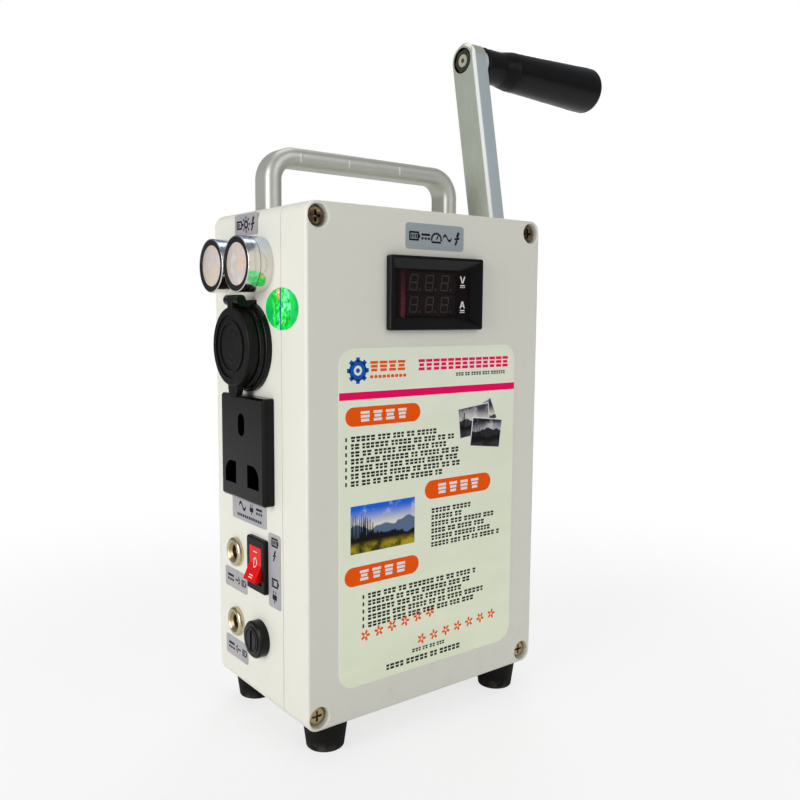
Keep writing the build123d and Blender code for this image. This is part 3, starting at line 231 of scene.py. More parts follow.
# The box: two injection-moulded ABS shells in warm light grey, with a very fine spark-eroded
# texture, faint flow marks, and edges that have been rubbed smooth and picked up a little grime.
def moulded(name, colour, roughness=0.42, grain=0.35, relief=0.004, blotch=0.03, coat=0.0):
    """A moulded plastic: fine texture, faint clouds of tone and gloss, all at their real scale."""
    finish = Finish(name)
    cloud = finish.noise(18, detail=4)
    fine = finish.noise(grain, detail=3)
    rubbed = finish.noise(4.5, detail=5).ramp(0.45, 0.75)
    base = finish.mix(cloud, shade(colour, 1 - blotch), shade(colour, 1 + blotch))
    finish.set(
        base_color=base,
        roughness=roughness + cloud * 0.08 - rubbed * 0.06,
        normal=finish.bump(fine, relief),
        ior=1.5,
    )
    if max(colour) < 0.05:
        finish.set(specular_ior_level=0.15)
    if coat:
        finish.set(coat_weight=coat, coat_roughness=0.08, coat_ior=1.35)
    return finish


case_colour = tint(232, 230, 218)
case_side, case_front, case_floor, seam_y = 60.0, -37.5, 11.0, -19.5
case = moulded("case_plastic", case_colour, roughness=0.4, grain=0.28, relief=0.003, blotch=0.012)
from_side = (case.x.size() - case_side).size()
from_front = (case.y - case_front).size()
edge = (1 - from_side.ramp(0.2, 2.6)) * (1 - from_front.ramp(0.3, 3.0))
low = 1 - (case.z - case_floor).ramp(0.0, 26.0)
patchy = case.noise(7.0, detail=6, roughness=0.65).ramp(0.5, 0.78)
grime = patchy * (low * 0.30 + edge * 0.25 + 0.05)
dirty = case.mix(grime * 0.55, case_colour, tint(186, 180, 164))
clouded = case.mix(case.noise(30, detail=3), shade(case_colour, 0.985), shade(case_colour, 1.012))
seam_line = 1 - (case.y - seam_y).size().ramp(0.05, 0.40)
multiply, divide = ({"data_type": "RGBA", "blend_type": kind} for kind in ("MULTIPLY", "DIVIDE"))
toned = case.node("Mix", multiply, {0: 1.0, 6: dirty, 7: clouded}, output=2)
lifted = case.node("Mix", divide, {0: 1.0, 6: toned, 7: (*case_colour, 1)}, output=2)
scuff = case.noise(0.8, detail=6, stretch=(1, 1, 0.12), roughness=0.7).ramp(0.66, 0.8)
case.set(
    base_color=case.mix(seam_line * 0.55, lifted, tint(120, 118, 110)),
    roughness=0.36 + case.noise(12, detail=4) * 0.1 + scuff * 0.12 + grime * 0.2,
    specular_ior_level=0.5,
)
wear(case, "front_cover", "rear_case")


# Plastics that hardly show: the black mouldings of the battery holders, of the generator's end
# and of the nut behind the charging socket, and the foamed rubber seal between the two shells.
dark_body = moulded(
    "black_body_plastic", tint(28, 28, 29), roughness=0.5, grain=0.4, relief=0.006, blotch=0.12
)
wear(dark_body, "generator_end_cap", "battery_holders", "usb_nut")
foam = moulded("gasket_foam", tint(36, 36, 38), roughness=0.85, grain=0.25, relief=0.03, blotch=0.2)
wear(foam, "cover_gasket")


# Screws: rolled steel with punched cross recesses. The four that close the lid are bronzed, and
# the two at the top are painted darker as painted shade; all the others are plated with zinc.
def stain_spots(finish):
    return finish.noise(2.2, detail=5, roughness=0.7).ramp(0.55, 0.8)


def worked_metal(
    name, colour, roughness=0.28, stretch=(1, 1, 1), grain=0.5, relief=0.002, stain=0.15,
    tarnish=None
):
    """A worked metal: brush lines or a turned skin, clouded gloss and a thin uneven stain."""
    finish = Finish(name)
    lines = finish.noise(grain, detail=4, stretch=stretch)
    cloud = finish.noise(9, detail=5)
    spots = stain_spots(finish)
    base = finish.mix(spots * stain, colour, tarnish or shade(colour, 0.45))
    if stretch != (1, 1, 1):
        base = finish.mix(lines, base, shade(colour, 1.08))
    finish.set(
        base_color=base,
        metallic=1.0,
        roughness=roughness + lines * 0.12 + cloud * 0.08 + spots * stain * 0.3,
        normal=finish.bump(lines, relief),
    )
    return finish


bronzed, dark_brown, lid_middle = tint(188, 168, 128), tint(52, 42, 30), 105.0
lid_screw = worked_metal("bronzed_screw", bronzed, roughness=0.24, grain=0.3, stain=0.8)
# Painted shade: the screws above the lid's middle are painted dark brown, standing in for the dark
# reflections they show.
top_screw_shade = lid_screw.noise(2.6, detail=3).ramp(0.2, 0.6)
top_screw_shade = top_screw_shade * lid_screw.z.ramp(lid_middle - 5, lid_middle + 5)
brown = lid_screw.mix(stain_spots(lid_screw) * 0.8, bronzed, dark_brown)
lid_screw.set(base_color=lid_screw.mix(top_screw_shade, brown, tint(84, 68, 52)))
wear(lid_screw, "cover_screws")
zinc = worked_metal(
    "zinc_screw", tint(186, 188, 190), roughness=0.3, grain=0.3, stain=0.3,
    tarnish=tint(120, 110, 92)
)
wear(zinc, "pan_screws", "gearbox_screws", "generator_screws", "panel_nuts", "idler_axle")


# Four tapered feet of black rubber, moulded with a fine matt skin, each held by a screw up
# through its middle, and dusty at the bottom edge.
rubber_colour = tint(16, 14, 13)
foot_rubber = moulded(
    "foot_rubber", rubber_colour, roughness=0.62, grain=0.3, relief=0.01, blotch=0.15
)
dusty = (1 - foot_rubber.z.ramp(0.0, 5.0)) * foot_rubber.noise(3.0, detail=5).ramp(0.35, 0.7)
foot_rubber.set(
    base_color=foot_rubber.mix(dusty * 0.5, rubber_colour, tint(96, 92, 86)),
    roughness=0.55 + dusty * 0.3 + foot_rubber.noise(2, detail=4) * 0.1,
)
wear(foot_rubber, "rubber_feet")


# Carrying handle: a flattened aluminium bar bent cold to a U, blasted and clear anodised, with
# faint drawing lines along the bar and three small dent marks across its crown, whose relief is
# real and whose near-white colour is a painted highlight.
handle_colour = tint(204, 205, 197)
bar = worked_metal(
    "anodised_bar", handle_colour, roughness=0.38, grain=0.35, relief=0.003, stain=0.08
)
drawn = bar.noise(0.35, detail=3, stretch=(0.05, 1, 0.05))
dent_places, dent_low, dent_high, dent_back = (-35.5, -11.5, 15.5), 232.0, 235.4, 7.5
# The dent marks are real relief; their near-white colour and lower metal are a painted highlight.
dent = sum(1 - (bar.x - x).size().ramp(0.15, 0.7) for x in dent_places)
dents_and_glints = dent * (bar.z > dent_low) * (bar.z < dent_high) * (bar.y < dent_back) * 0.7
lined = bar.mix(drawn.ramp(0.3, 0.8), handle_colour, shade(handle_colour, 0.93))
bar.set(
    base_color=bar.mix(dents_and_glints, lined, tint(246, 246, 236)),
    roughness=0.38 + drawn * 0.14,
    metallic=0.7 - dents_and_glints * 0.5,
    normal=bar.bump(drawn * 0.02 + dents_and_glints, 0.15),
)
wear(bar, "carry_handle")


# Crank arm: a milled flat of aluminium, satin anodised, with a highlight painted along its cut
# edges; the lengthwise brush lines run along the arm, which leans back from upright.
lean = math.radians(10.3)
crank_z, arm_length, arm_x = 171.0, 125.0, 71.0
arm_colour = tint(219, 224, 207)
arm = Finish("milled_arm")
along = (arm.z - crank_z) * math.cos(lean) + arm.y * math.sin(lean)
across = arm.y * math.cos(lean) - (arm.z - crank_z) * math.sin(lean)
lie = arm.node("CombineXYZ", values={0: arm.x, 1: across, 2: along * 0.03})
brush = arm.node("TexNoise", values={"Vector": lie, "Scale": 3.2, "Detail": 4.0})
cloudy = arm.noise(14, detail=4)
handled = arm.noise(2.5, detail=5, roughness=0.7).ramp(0.6, 0.8)
tip_y, tip_z = arm_length * math.sin(lean), crank_z + arm_length * math.cos(lean)
from_tip = arm.from_axis(tip_y, tip_z)
pocket_mouth, pocket_floor, pocket_radius = 66.1, 75.0, 6.15
# Painted shade: the nut recess is painted dark brown-grey inside, standing in for the shade in it.
pocket_shade = 1 - from_tip.ramp(pocket_radius, pocket_radius + 0.1)
pocket_shade = pocket_shade * arm.x.ramp(pocket_mouth, pocket_mouth + 0.3) * (arm.x < pocket_floor)
from_core, from_line = (arm.x - arm_x).size(), across.size()
# Painted highlight: a near-white line with less metal along the chamfered edges, as the light
# catches them.
edge_highlight = from_core.ramp(3.4, 3.6) * (1 - from_core.ramp(4.94, 5.0))
edge_highlight = edge_highlight * from_line.ramp(7.1, 7.25) * (1 - from_line.ramp(8.2, 8.3))
bare = arm.mix(brush.ramp(0.35, 0.7), shade(arm_colour, 0.94), shade(arm_colour, 1.03))
# Painted light: the arm's narrow sides are painted a paler blue, standing in for the light that
# falls on them.
bare = arm.mix(from_line.ramp(8.35, 8.45), bare, tint(206, 218, 221))
arm.set(
    base_color=arm.mix(pocket_shade, arm.mix(edge_highlight, bare, tint(250, 250, 248)), tint(44, 42, 38)),
    metallic=0.8 - edge_highlight * 0.55,
    roughness=0.3 + brush * 0.14 + cloudy * 0.08 + handled * 0.08,
    normal=arm.bump(brush, 0.003),
)
wear(arm, "crank_arm")


# Turned steel of the crank: the shaft with its collar, the hub screw, the grip's spindle, whose
# end is painted brown in the middle as the shade of a centre hole and whose collar is painted
# near white as a highlight, so that it shows as a pale washer, and the spindle's nut, painted dark
# as the shade in its counterbore.
turned = worked_metal(
    "turned_steel", tint(178, 178, 176), roughness=0.22, stretch=(6, 1, 1), grain=0.8, stain=0.2
)
wear(turned, "crank_shaft", "hub_screw")
bright = worked_metal("bright_zinc", tint(226, 224, 214), roughness=0.2, grain=0.4, stain=0.35)
spindle_end, washer_near, washer_far = 68.0, 75.8, 78.2
# Painted shade: a brown spot in the middle of the spindle's end stands for the shade of a centre
# hole.
centre_hole_shade = (1 - bright.from_axis(tip_y, tip_z).ramp(0.9, 1.3)) * (bright.x < spindle_end)
# Painted highlight: the collar is painted near white with little metal, as the light catches it.
past_washer = bright.x.ramp(washer_far - 0.1, washer_far)
washer_highlight = bright.x.ramp(washer_near, washer_near + 0.1) * (1 - past_washer)
plain = bright.mix(stain_spots(bright) * 0.35, tint(236, 232, 214), tint(120, 104, 70))
bright.set(
    base_color=bright.mix(
        washer_highlight, bright.mix(centre_hole_shade, plain, tint(112, 84, 52)), tint(238, 238, 244)
    ),
    metallic=0.75 - washer_highlight * 0.7,
)
wear(bright, "grip_spindle")
# Painted shade: the nut is given a dark olive colour, standing in for the shade in the arm's
# counterbore where it sits.
shaded_nut = worked_metal(
    "nut_in_painted_shade", tint(84, 84, 66), roughness=0.26, grain=0.4, stain=0.6,
    tarnish=tint(30, 30, 22)
)
shaded_nut.set(metallic=0.8)
wear(shaded_nut, "spindle_nut")


# The grip: a hard black plastic sleeve turned by the palm, glossy where the hand polishes it, with
# one fine ring moulded near its neck, closed at the end by a plug of the same plastic.
grip_colour = tint(7, 7, 8)
grip = moulded("grip_plastic", grip_colour, roughness=0.2, grain=0.5, relief=0.004, blotch=0.2)
palm = grip.noise(6, detail=5).ramp(0.4, 0.7)
scratches = grip.noise(0.6, detail=5, stretch=(0.12, 1, 1), roughness=0.7).ramp(0.64, 0.78)
shoulder = grip.x.ramp(84.0, 92.0) * (1 - grip.x.ramp(95.0, 104.0))
ring_x = 97.4
grip.set(
    base_color=grip.mix(scratches * 0.35, grip_colour, tint(58, 56, 54)),
    roughness=0.19 + palm * 0.08 + scratches * 0.2 + shoulder * 0.2,
    coat_weight=0.25 - shoulder * 0.2,
    coat_roughness=0.25,
    normal=grip.bump(1 - (grip.x - ring_x).size().ramp(0.2, 0.45), 0.3),
)
wear(grip, "grip_sleeve", "grip_plug")


# Flat print on films and panels: each shape starts as a one-face grid or a disc, gets its rounded
# corners from a vertex bevel, and is given the thickness of a layer of screen ink. On a wall, u
# runs to the right as one faces it, v is the height over the table, and both are in millimetres.
FRONT = Matrix(((1, 0, 0, 0), (0, 0, -1, 0), (0, 1, 0, 0), (0, 0, 0, 1)))
LEFT = Matrix(((0, 0, -1, 0), (-1, 0, 0, 0), (0, 1, 0, 0), (0, 0, 0, 1)))
ink_thickness = 0.02


def bar_shape(bm, u, v, width, height, corner=0.0, angle=0.0, segments=3):
    place = Matrix.Translation((u, v, 0)) @ Matrix.Rotation(math.radians(angle), 4, "Z")
    place = place @ Matrix.Diagonal((width, height, 1, 1))
    made = bmesh.ops.create_grid(bm, x_segments=1, y_segments=1, size=0.5, matrix=place)["verts"]
    if corner:
        bmesh.ops.bevel(
            bm, geom=made, offset=corner, segments=segments,
            profile=0.5, affect="VERTICES", material=-1,
        )


def block_shape(bm, u, v, width, height, rows=3):
    """A block of placeholder type: a few strokes of uneven length, one above the other."""
    pitch = height / (rows - 0.4)
    for row in range(rows):
        stroke = width * (1.0 if row == 0 else 0.72 + (u * 37 + row * 17) % 10 * 0.028)
        bar_shape(bm, u, v + (rows / 2 - 0.5 - row) * pitch, stroke, pitch * 0.72)


def disc_shape(bm, u, v, radius, sides=40):
    place = Matrix.Translation((u, v, 0))
    bmesh.ops.create_circle(bm, cap_ends=True, radius=radius, segments=sides, matrix=place)


def ring_shape(bm, u, v, radius, width, sides=40, squeeze=1.0):
    place = Matrix.Translation((u, v, 0)) @ Matrix.Diagonal((1, squeeze, 1, 1))
    made = bmesh.ops.create_circle(
        bm, cap_ends=True, radius=radius, segments=sides, matrix=place
    )["verts"]
    face = made[0].link_faces[0]
    bmesh.ops.inset_individual(bm, faces=[face], thickness=width)
    bmesh.ops.delete(bm, geom=[face], context="FACES_ONLY")


def finish_piece(name, bm, finish, body, place):
    """Moves a mesh drawn in millimetres to its place on the object and hangs it on its body."""
    bmesh.ops.transform(bm, matrix=Matrix.Scale(MM, 4) @ place, verts=bm.verts)
    bmesh.ops.recalc_face_normals(bm, faces=bm.faces)
    mesh = bpy.data.meshes.new(name)
    bm.to_mesh(mesh)
    bm.free()
    mesh.materials.append(finish.material)
    piece = bpy.data.objects.new(name, mesh)
    bpy.context.scene.collection.objects.link(piece)
    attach(piece, body)


def print_on(name, bm, finish, wall, depth):
    """Lays flat shapes on a wall, this far out from the middle of the box, as a thin layer."""
    bmesh.ops.solidify(bm, geom=bm.faces[:], thickness=ink_thickness)
    lowest = min(vert.co.z for vert in bm.verts)
    bmesh.ops.translate(bm, vec=(0, 0, depth - lowest), verts=bm.verts)
    finish_piece(name, bm, finish, "box", wall)


def ink(name, colour):
    """Screen ink, with a slightly uneven lay."""
    finish = Finish(name)
    lay = finish.noise(1.2, detail=4)
    finish.set(
        base_color=finish.mix(lay, shade(colour, 0.94), shade(colour, 1.06)),
        roughness=0.45 + finish.noise(0.6, detail=3) * 0.12,
        normal=finish.bump(lay, 0.001),
        specular_ior_level=0.1,
    )
    return finish


# The data sticker on the lid: laminated film with a soft yellow-green tint that is deepest below
# the middle, printed in crimson, orange, grey and blue. Its words are only bars, as in a layout.
film_face = 37.7
sticker_low, sticker_high = 24.5, 157.5
film = Finish("data_film")
fade = (film.z - sticker_low) * (1 / (sticker_high - sticker_low))
band = film.noise(26, detail=2, stretch=(0.6, 1, 1.6)).ramp(0.35, 0.7)
film_tones = [
    (0.0, tint(250, 255, 226)), (0.3, tint(248, 253, 226)), (0.6, tint(246, 251, 226)),
    (0.85, tint(248, 252, 230)), (1.0, tint(249, 252, 234)),
]
ground = film.node("ValToRGB", {"stops": film_tones}, {0: fade})
orange_peel = film.noise(0.9, detail=3)
film.set(
    base_color=film.mix(band * 0.3, ground, tint(228, 236, 204)),
    roughness=0.3 + orange_peel * 0.1 + film.noise(9, detail=4) * 0.08,
    normal=film.bump(orange_peel, 0.004),
    coat_weight=0.25,
    coat_roughness=0.2,
)
wear(film, "spec_sticker")
crimson = ink("crimson_ink", tint(255, 0, 102))
orange = ink("orange_ink", tint(255, 92, 0))
grey_ink = ink("grey_ink", tint(46, 48, 44))
blue_ink = ink("blue_ink", tint(24, 90, 188))
white_ink = ink("white_ink", tint(244, 244, 240))


def spoke(angle, reach):
    """How far along u and v a mark stands from a centre, at this angle in degrees."""
    return math.cos(math.radians(angle)) * reach, math.sin(math.radians(angle)) * reach


stripes = bmesh.new()
bar_shape(stripes, 0, 139.35, 91.9, 2.9)
for number in range(13):
    block_shape(stripes, -6.4 + number * 3.88, 150.2, 3.3, 4.3)
print_on("sticker_crimson", stripes, crimson, FRONT, film_face)

orange_shapes = bmesh.new()
for number in range(4):
    block_shape(orange_shapes, -29.8 + number * 4.4, 150.4, 3.7, 3.8)
for number in range(9):
    bar_shape(orange_shapes, -31.0 + number * 2.0, 146.4, 1.5, 1.2, 0.3)
heads = ((-25.0, 131.4, 36.3, 7.4), (14.3, 98.6, 36.8, 7.8), (-25.2, 69.0, 36.5, 7.6))
for u, v, width, height in heads:
    bar_shape(orange_shapes, u, v, width, height, height * 0.499, segments=8)
for start, v, count, rise in ((-33.6, 44.4, 6, 0.5), (-5.0, 36.3, 7, 0.35)):
    for number in range(count):
        centre_u, centre_v = start + number * 6.6, v + number * rise
        for petal in range(5):
            angle = 72 * petal + 25 * number
            du, dv = spoke(angle, 1.35)
            bar_shape(orange_shapes, centre_u + du, centre_v + dv, 1.7, 0.95, 0.3, angle)
print_on("sticker_orange", orange_shapes, orange, FRONT, film_face)

head_words = bmesh.new()
for u, v, width, height in heads:
    for number in range(4):
        block_shape(head_words, u + (number - 1.5) * width * 0.165, v, width * 0.115, height * 0.52)
print_on("sticker_head_words", head_words, white_ink, FRONT, film_face + ink_thickness)

copy = bmesh.new()
type_hand = random.Random(11)


def text_line(bm, start, end, v, height, number_first=True):
    """One line of placeholder copy: a short mark, then runs of blocks as big as letters."""
    if number_first:
        bar_shape(bm, start + 0.4, v, 0.8, height * 0.8, 0.2)
        start += 2.6
    while start < end - height:
        for _ in range(type_hand.randint(2, 6)):
            if start < end - height:
                wide = height * (0.7 + type_hand.random() * 0.35)
                block_shape(bm, start + wide / 2, v, wide, height, 2)
                start += wide + height * 0.24
        start += height * 0.5


for number, end in enumerate((4.0, 12.5, 9.0, 16.5, 15.0, 17.0, 6.5)):
    text_line(copy, -43.2, end, 122.9 - number * 2.87, 1.95)
for number, end in enumerate((22.0, 17.0, 36.5, 30.5, 34.5, 40.5)):
    text_line(copy, -0.4, end, 89.7 - number * 2.85, 1.85, number_first=False)
for number, end in enumerate((26.5, 22.0, 16.5, 30.0, 24.0)):
    text_line(copy, -35.0, end, 60.2 - number * 2.95, 1.95)
text_line(copy, 12.0, 41.0, 145.7, 1.3, number_first=False)
text_line(copy, -10.0, 9.0, 32.2, 1.4, number_first=False)
text_line(copy, -23.2, 19.0, 28.5, 2.1, number_first=False)
print_on("sticker_copy", copy, grey_ink, FRONT, film_face)

badge = bmesh.new()
badge_u, badge_v = -37.4, 149.0
for angle in range(0, 360, 45):
    du, dv = spoke(angle, 4.2)
    bar_shape(badge, badge_u + du, badge_v + dv, 1.6, 1.7, 0.2, angle)
ring_shape(badge, badge_u, badge_v, 4.0, 2.1)
disc_shape(badge, badge_u, badge_v, 0.9, 24)
print_on("sticker_badge", badge, blue_ink, FRONT, film_face)


# Pictures printed on the sticker: a pine ridge under a bright sky, and three small overlapping
# snapshots of a shore, a lake and a road, each with a white border. All are invented views.
def view_card(name, u, v, width, height, angle, colours, horizon, ridge, depth, seed):
    """A printed view: sky that pales to the horizon, a far ridge, a dark near ridge with trees."""
    card = Finish(name)
    sky_top, sky_low, far, near, ground_colour = colours
    right = card.x - u
    up = (card.z - (v - height / 2)) * (1 / height)
    drift = card.node("CombineXYZ", values={0: right + seed * 50.0, 1: seed, 2: 0.0})
    wide = card.node("TexNoise", values={"Vector": drift, "Scale": ridge, "Detail": 2.0})
    jagged = {"Vector": drift, "Scale": ridge * 9, "Detail": 3.0, "Roughness": 0.7}
    jag = card.node("TexNoise", values=jagged)
    haze = card.node("TexNoise", values={"Vector": card.place, "Scale": 0.16, "Detail": 4.0})
    sky = card.mix(up.ramp(horizon - 0.1, 0.95), sky_low, sky_top)
    sky = card.mix(haze.ramp(0.5, 0.72) * 0.6, sky, tint(240, 240, 236))
    far_line = wide * 0.5 + (horizon - 0.22)
    crest = card.node("TexNoise", values={"Vector": drift, "Scale": ridge * 22, "Detail": 1.0})
    leftward = 1 - (right + width * 0.5).ramp(width * 0.1, width * 0.5)
    pines = leftward * crest.ramp(0.42, 0.62) * 0.5
    near_line = (1 - wide) * 0.36 + jag * 0.16 + (horizon - 0.42) + pines
    scene_colour = card.mix((far_line - up).ramp(-0.01, 0.02), sky, far)
    scene_colour = card.mix((near_line - up).ramp(-0.01, 0.015), scene_colour, near)
    foreground = (horizon * 0.35 - up).ramp(-0.08, 0.1) * haze.ramp(0.3, 0.6)
    scene_colour = card.mix(foreground, scene_colour, ground_colour)
    card.set(base_color=scene_colour, roughness=0.34 + haze * 0.08, specular_ior_level=0.15)
    face = bmesh.new()
    bar_shape(face, u, v, width, height, 0.0, angle)
    print_on(name, face, card, FRONT, depth)


hill_colours = (
    tint(10, 104, 230), tint(255, 250, 214), tint(96, 118, 150), tint(5, 5, 4), tint(190, 166, 20)
)
lake_colours = (
    tint(66, 64, 74), tint(240, 234, 226), tint(74, 68, 72), tint(8, 7, 9), tint(74, 68, 72)
)
road_colours = (
    tint(34, 34, 48), tint(206, 200, 206), tint(40, 38, 44), tint(4, 4, 5), tint(58, 52, 50)
)
view_card(
    "sticker_view_ridge", -25.0, 87.4, 31.4, 18.9, 0, hill_colours, 0.52, 0.11, film_face, 1.3
)
snapshots = (
    ("top", "shore", 27.4, 127.6, 13.6, 9.4, 1.0, 24, lake_colours, 0.45, 0.3, -0.01, 6.1),
    ("back", "lake", 22.6, 125.6, 16.8, 12.2, 0.8, 6, lake_colours, 0.5, 0.16, 0.03, 4.7),
    ("front", "road", 29.6, 119.9, 16.8, 11.8, 0.8, -7, road_colours, 0.55, 0.2, 0.07, 8.2),
)
for rank, view, u, v, width, height, margin, angle, tones, horizon, ridge, lift, seed in snapshots:
    border = bmesh.new()
    bar_shape(border, u, v, width + margin, height + margin, 0.0, angle)
    print_on("sticker_snapshot_border_" + rank, border, white_ink, FRONT, film_face + lift)
    view_card(
        "sticker_view_" + view, u, v, width, height, angle, tones,
        horizon, ridge, film_face + lift + ink_thickness, seed,
    )


# The grey labels: metallised paper film with a soft blue cast, each with a printed pictogram for
# what its fitting does.
label_film = Finish("label_film")
flake = label_film.noise(0.5, detail=4)
tinge = label_film.noise(9, detail=2, stretch=(1, 1, 0.6)).ramp(0.35, 0.65)
side_tone = label_film.mix(tinge, tint(176, 178, 184), tint(192, 184, 184))
label_tone = label_film.mix(label_film.x < -59.0, tint(170, 178, 182), side_tone)
label_film.set(
    base_color=label_film.mix(flake * 0.25, label_tone, tint(120, 124, 130)),
    metallic=0.25,
    roughness=0.38 + flake * 0.12,
    normal=label_film.bump(flake, 0.003),
)
wear(label_film, "port_labels")
label_ink = ink("label_ink", tint(22, 23, 27))
side_label_face, lid_label_face = 60.2, 37.7


def frame_shape(bm, u, v, width, height, stroke):
    for side in (-1, 1):
        bar_shape(bm, u, v + side * (height - stroke) / 2, width, stroke)
        bar_shape(bm, u + side * (width - stroke) / 2, v, stroke, height - 2 * stroke)


def battery_icon(bm, u, v, size, bars):
    frame_shape(bm, u, v, size, size * 0.74, size * 0.15)
    bar_shape(bm, u + size * 0.56, v, size * 0.12, size * 0.3)
    for number in range(bars):
        bar_shape(bm, u + (number - 1) * size * 0.22, v, size * 0.14, size * 0.34)


def wave_icon(bm, u, v, size):
    place = Matrix.Translation((u, v, 0)) @ Matrix.Diagonal((size, size * 0.22, 1, 1))
    strip = bmesh.ops.create_grid(bm, x_segments=18, y_segments=1, size=0.5, matrix=place)["verts"]
    for vert in strip:
        vert.co.y -= math.sin((vert.co.x - u) / size * math.tau) * size * 0.23


def direct_icon(bm, u, v, size):
    bar_shape(bm, u, v + size * 0.17, size, size * 0.2)
    for dash in (-1, 0, 1):
        bar_shape(bm, u + dash * size * 0.37, v - size * 0.17, size * 0.26, size * 0.2)


def ray_icon(bm, u, v, size):
    ring_shape(bm, u, v, size * 0.27, size * 0.14, 28)
    for angle in range(0, 360, 45):
        du, dv = spoke(angle, size * 0.42)
        bar_shape(bm, u + du, v + dv, size * 0.17, size * 0.13, 0, angle)


def bolt_icon(bm, u, v, size):
    bar_shape(bm, u + size * 0.08, v + size * 0.29, size * 0.22, size * 0.42, 0, -26)
    bar_shape(bm, u, v, size * 0.5, size * 0.15, 0, 8)
    bar_shape(bm, u - size * 0.08, v - size * 0.29, size * 0.18, size * 0.42, 0, -26)


def dial_icon(bm, u, v, size):
    for step in range(9):
        angle = 180 - step * 22.5
        du, dv = spoke(angle, size * 0.46)
        bar_shape(bm, u + du, v - size * 0.2 + dv, size * 0.16, size * 0.17, 0, angle)
    bar_shape(bm, u + size * 0.09, v - size * 0.04, size * 0.34, size * 0.12, 0, 62)
    bar_shape(bm, u, v - size * 0.38, size * 0.9, size * 0.14)


def arrow_icon(bm, u, v, size, side):
    bar_shape(bm, u - side * size * 0.12, v, size * 0.62, size * 0.15)
    for turn in (-1, 1):
        head_u, head_v = u + side * size * 0.3, v + turn * size * 0.2
        bar_shape(bm, head_u, head_v, size * 0.42, size * 0.14, 0, -turn * side * 42)


def plug_icon(bm, u, v, size):
    bar_shape(bm, u, v - size * 0.05, size * 0.7, size * 0.42, size * 0.08)
    bar_shape(bm, u, v - size * 0.4, size * 0.14, size * 0.24)
    for side in (-1, 1):
        bar_shape(bm, u + side * size * 0.18, v + size * 0.34, size * 0.12, size * 0.28)


gauge_marks = bmesh.new()
battery_icon(gauge_marks, -10.9, 200.8, 4.9, 3)
direct_icon(gauge_marks, -5.0, 200.8, 4.4)
dial_icon(gauge_marks, 0.5, 200.9, 5.4)
wave_icon(gauge_marks, 6.2, 200.8, 4.6)
bolt_icon(gauge_marks, 11.4, 200.8, 5.4)
print_on("meter_label_marks", gauge_marks, label_ink, FRONT, lid_label_face)

icons = bmesh.new()
battery_icon(icons, -13.2, 205.2, 4.6, 2)
ray_icon(icons, -7.4, 205.2, 6.4)
bolt_icon(icons, -1.9, 205.2, 5.6)
wave_icon(icons, -13.6, 90.3, 6.0)
plug_icon(icons, -5.6, 90.3, 4.4)
direct_icon(icons, 0.9, 90.3, 5.0)
for number in range(13):
    bar_shape(icons, -17.6 + number * 1.65, 86.3, 1.15, 1.2)
battery_icon(icons, 13.4, 80.6, 5.0, 3)
bolt_icon(icons, 13.2, 75.2, 4.6)
battery_icon(icons, 13.4, 64.2, 5.0, 1)
plug_icon(icons, 13.2, 58.6, 5.0)
for jack_label_v, side in ((56.9, 1), (26.4, -1)):
    direct_icon(icons, -25.2, jack_label_v, 5.4)
    arrow_icon(icons, -18.9, jack_label_v, 4.6, side)
    battery_icon(icons, -13.4, jack_label_v, 3.8, 2)
print_on("port_label_icons", icons, label_ink, LEFT, side_label_face)


# The oval seal across the joint of the shells: green holographic foil whose bright patches and
# glints are painted highlights and a painted orange reflection, with a faint painted emission,
# and with painted shade in the dark blue fold where it bridges the seam.
seal_y, seal_z = -20.2, 172.0
foil = Finish("green_foil")
swirl = foil.noise(5.0, detail=3, roughness=0.5)
dots = foil.noise(0.7, detail=2)
sweep = (foil.y * 0.05 + foil.z * 0.03 + swirl * 1.1).math("FRACT")
greens = [
    (0.0, tint(0, 216, 60)), (0.3, tint(0, 240, 60)), (0.5, tint(20, 255, 90)),
    (0.66, tint(120, 255, 190)), (0.8, tint(0, 250, 80)), (1.0, tint(0, 222, 70)),
]
rainbow = foil.node("ValToRGB", {"stops": greens}, {0: sweep})
off_y, off_z = foil.y - seal_y, foil.z - seal_z
# Painted reflection: an orange patch near the top of the seal.
reflection_edge = (off_y - 2.8 + swirl * 1.5).size().ramp(0.7, 2.0)
orange_reflection = (off_z - 4.6 + swirl * 3.0).ramp(0.0, 1.2) * (1 - reflection_edge)
from_middle = (off_y * off_y + off_z * off_z * 0.43).math("SQRT")
rim_tone = from_middle.ramp(6.4, 8.0) * swirl.ramp(0.35, 0.6)
# The fold is a real dip in the bump; its dark blue colour is painted shade.
fold_dip_and_shade = 1 - (foil.y - seam_y).size().ramp(0.3, 0.75)
mottle = foil.noise(1.9, detail=3, roughness=0.6)
# Painted highlight: near-white glints scattered over the middle of the foil.
painted_glints = (1 - from_middle.ramp(3.5, 8.5)) * dots.ramp(0.48, 0.56) * mottle.ramp(0.5, 0.58)
deep = foil.mix((1 - mottle.ramp(0.34, 0.48)) * 0.8, rainbow, tint(0, 128, 40))
rimmed = foil.mix(rim_tone * 0.6, deep, tint(0, 150, 130))
patterned = foil.mix(orange_reflection * 0.9, rimmed, tint(250, 150, 40))
bright_green = foil.mix(painted_glints * 0.8, patterned, tint(224, 255, 248))
# Painted light: a faint green emission, brighter at the glints, makes the foil shine though it is
# no lamp.
painted_glow = foil.mix(painted_glints, tint(0, 150, 30), tint(150, 200, 180))
foil.set(
    base_color=foil.mix(fold_dip_and_shade * 0.85, bright_green, tint(0, 88, 140)),
    emission_color=foil.mix(fold_dip_and_shade, painted_glow, (0, 0, 0)),
    emission_strength=0.4,
    metallic=0.2,
    roughness=0.2 + swirl * 0.2,
    normal=foil.bump(dots * 0.25 + fold_dip_and_shade * -0.6, 0.08),
)
wear(foil, "seal_sticker")


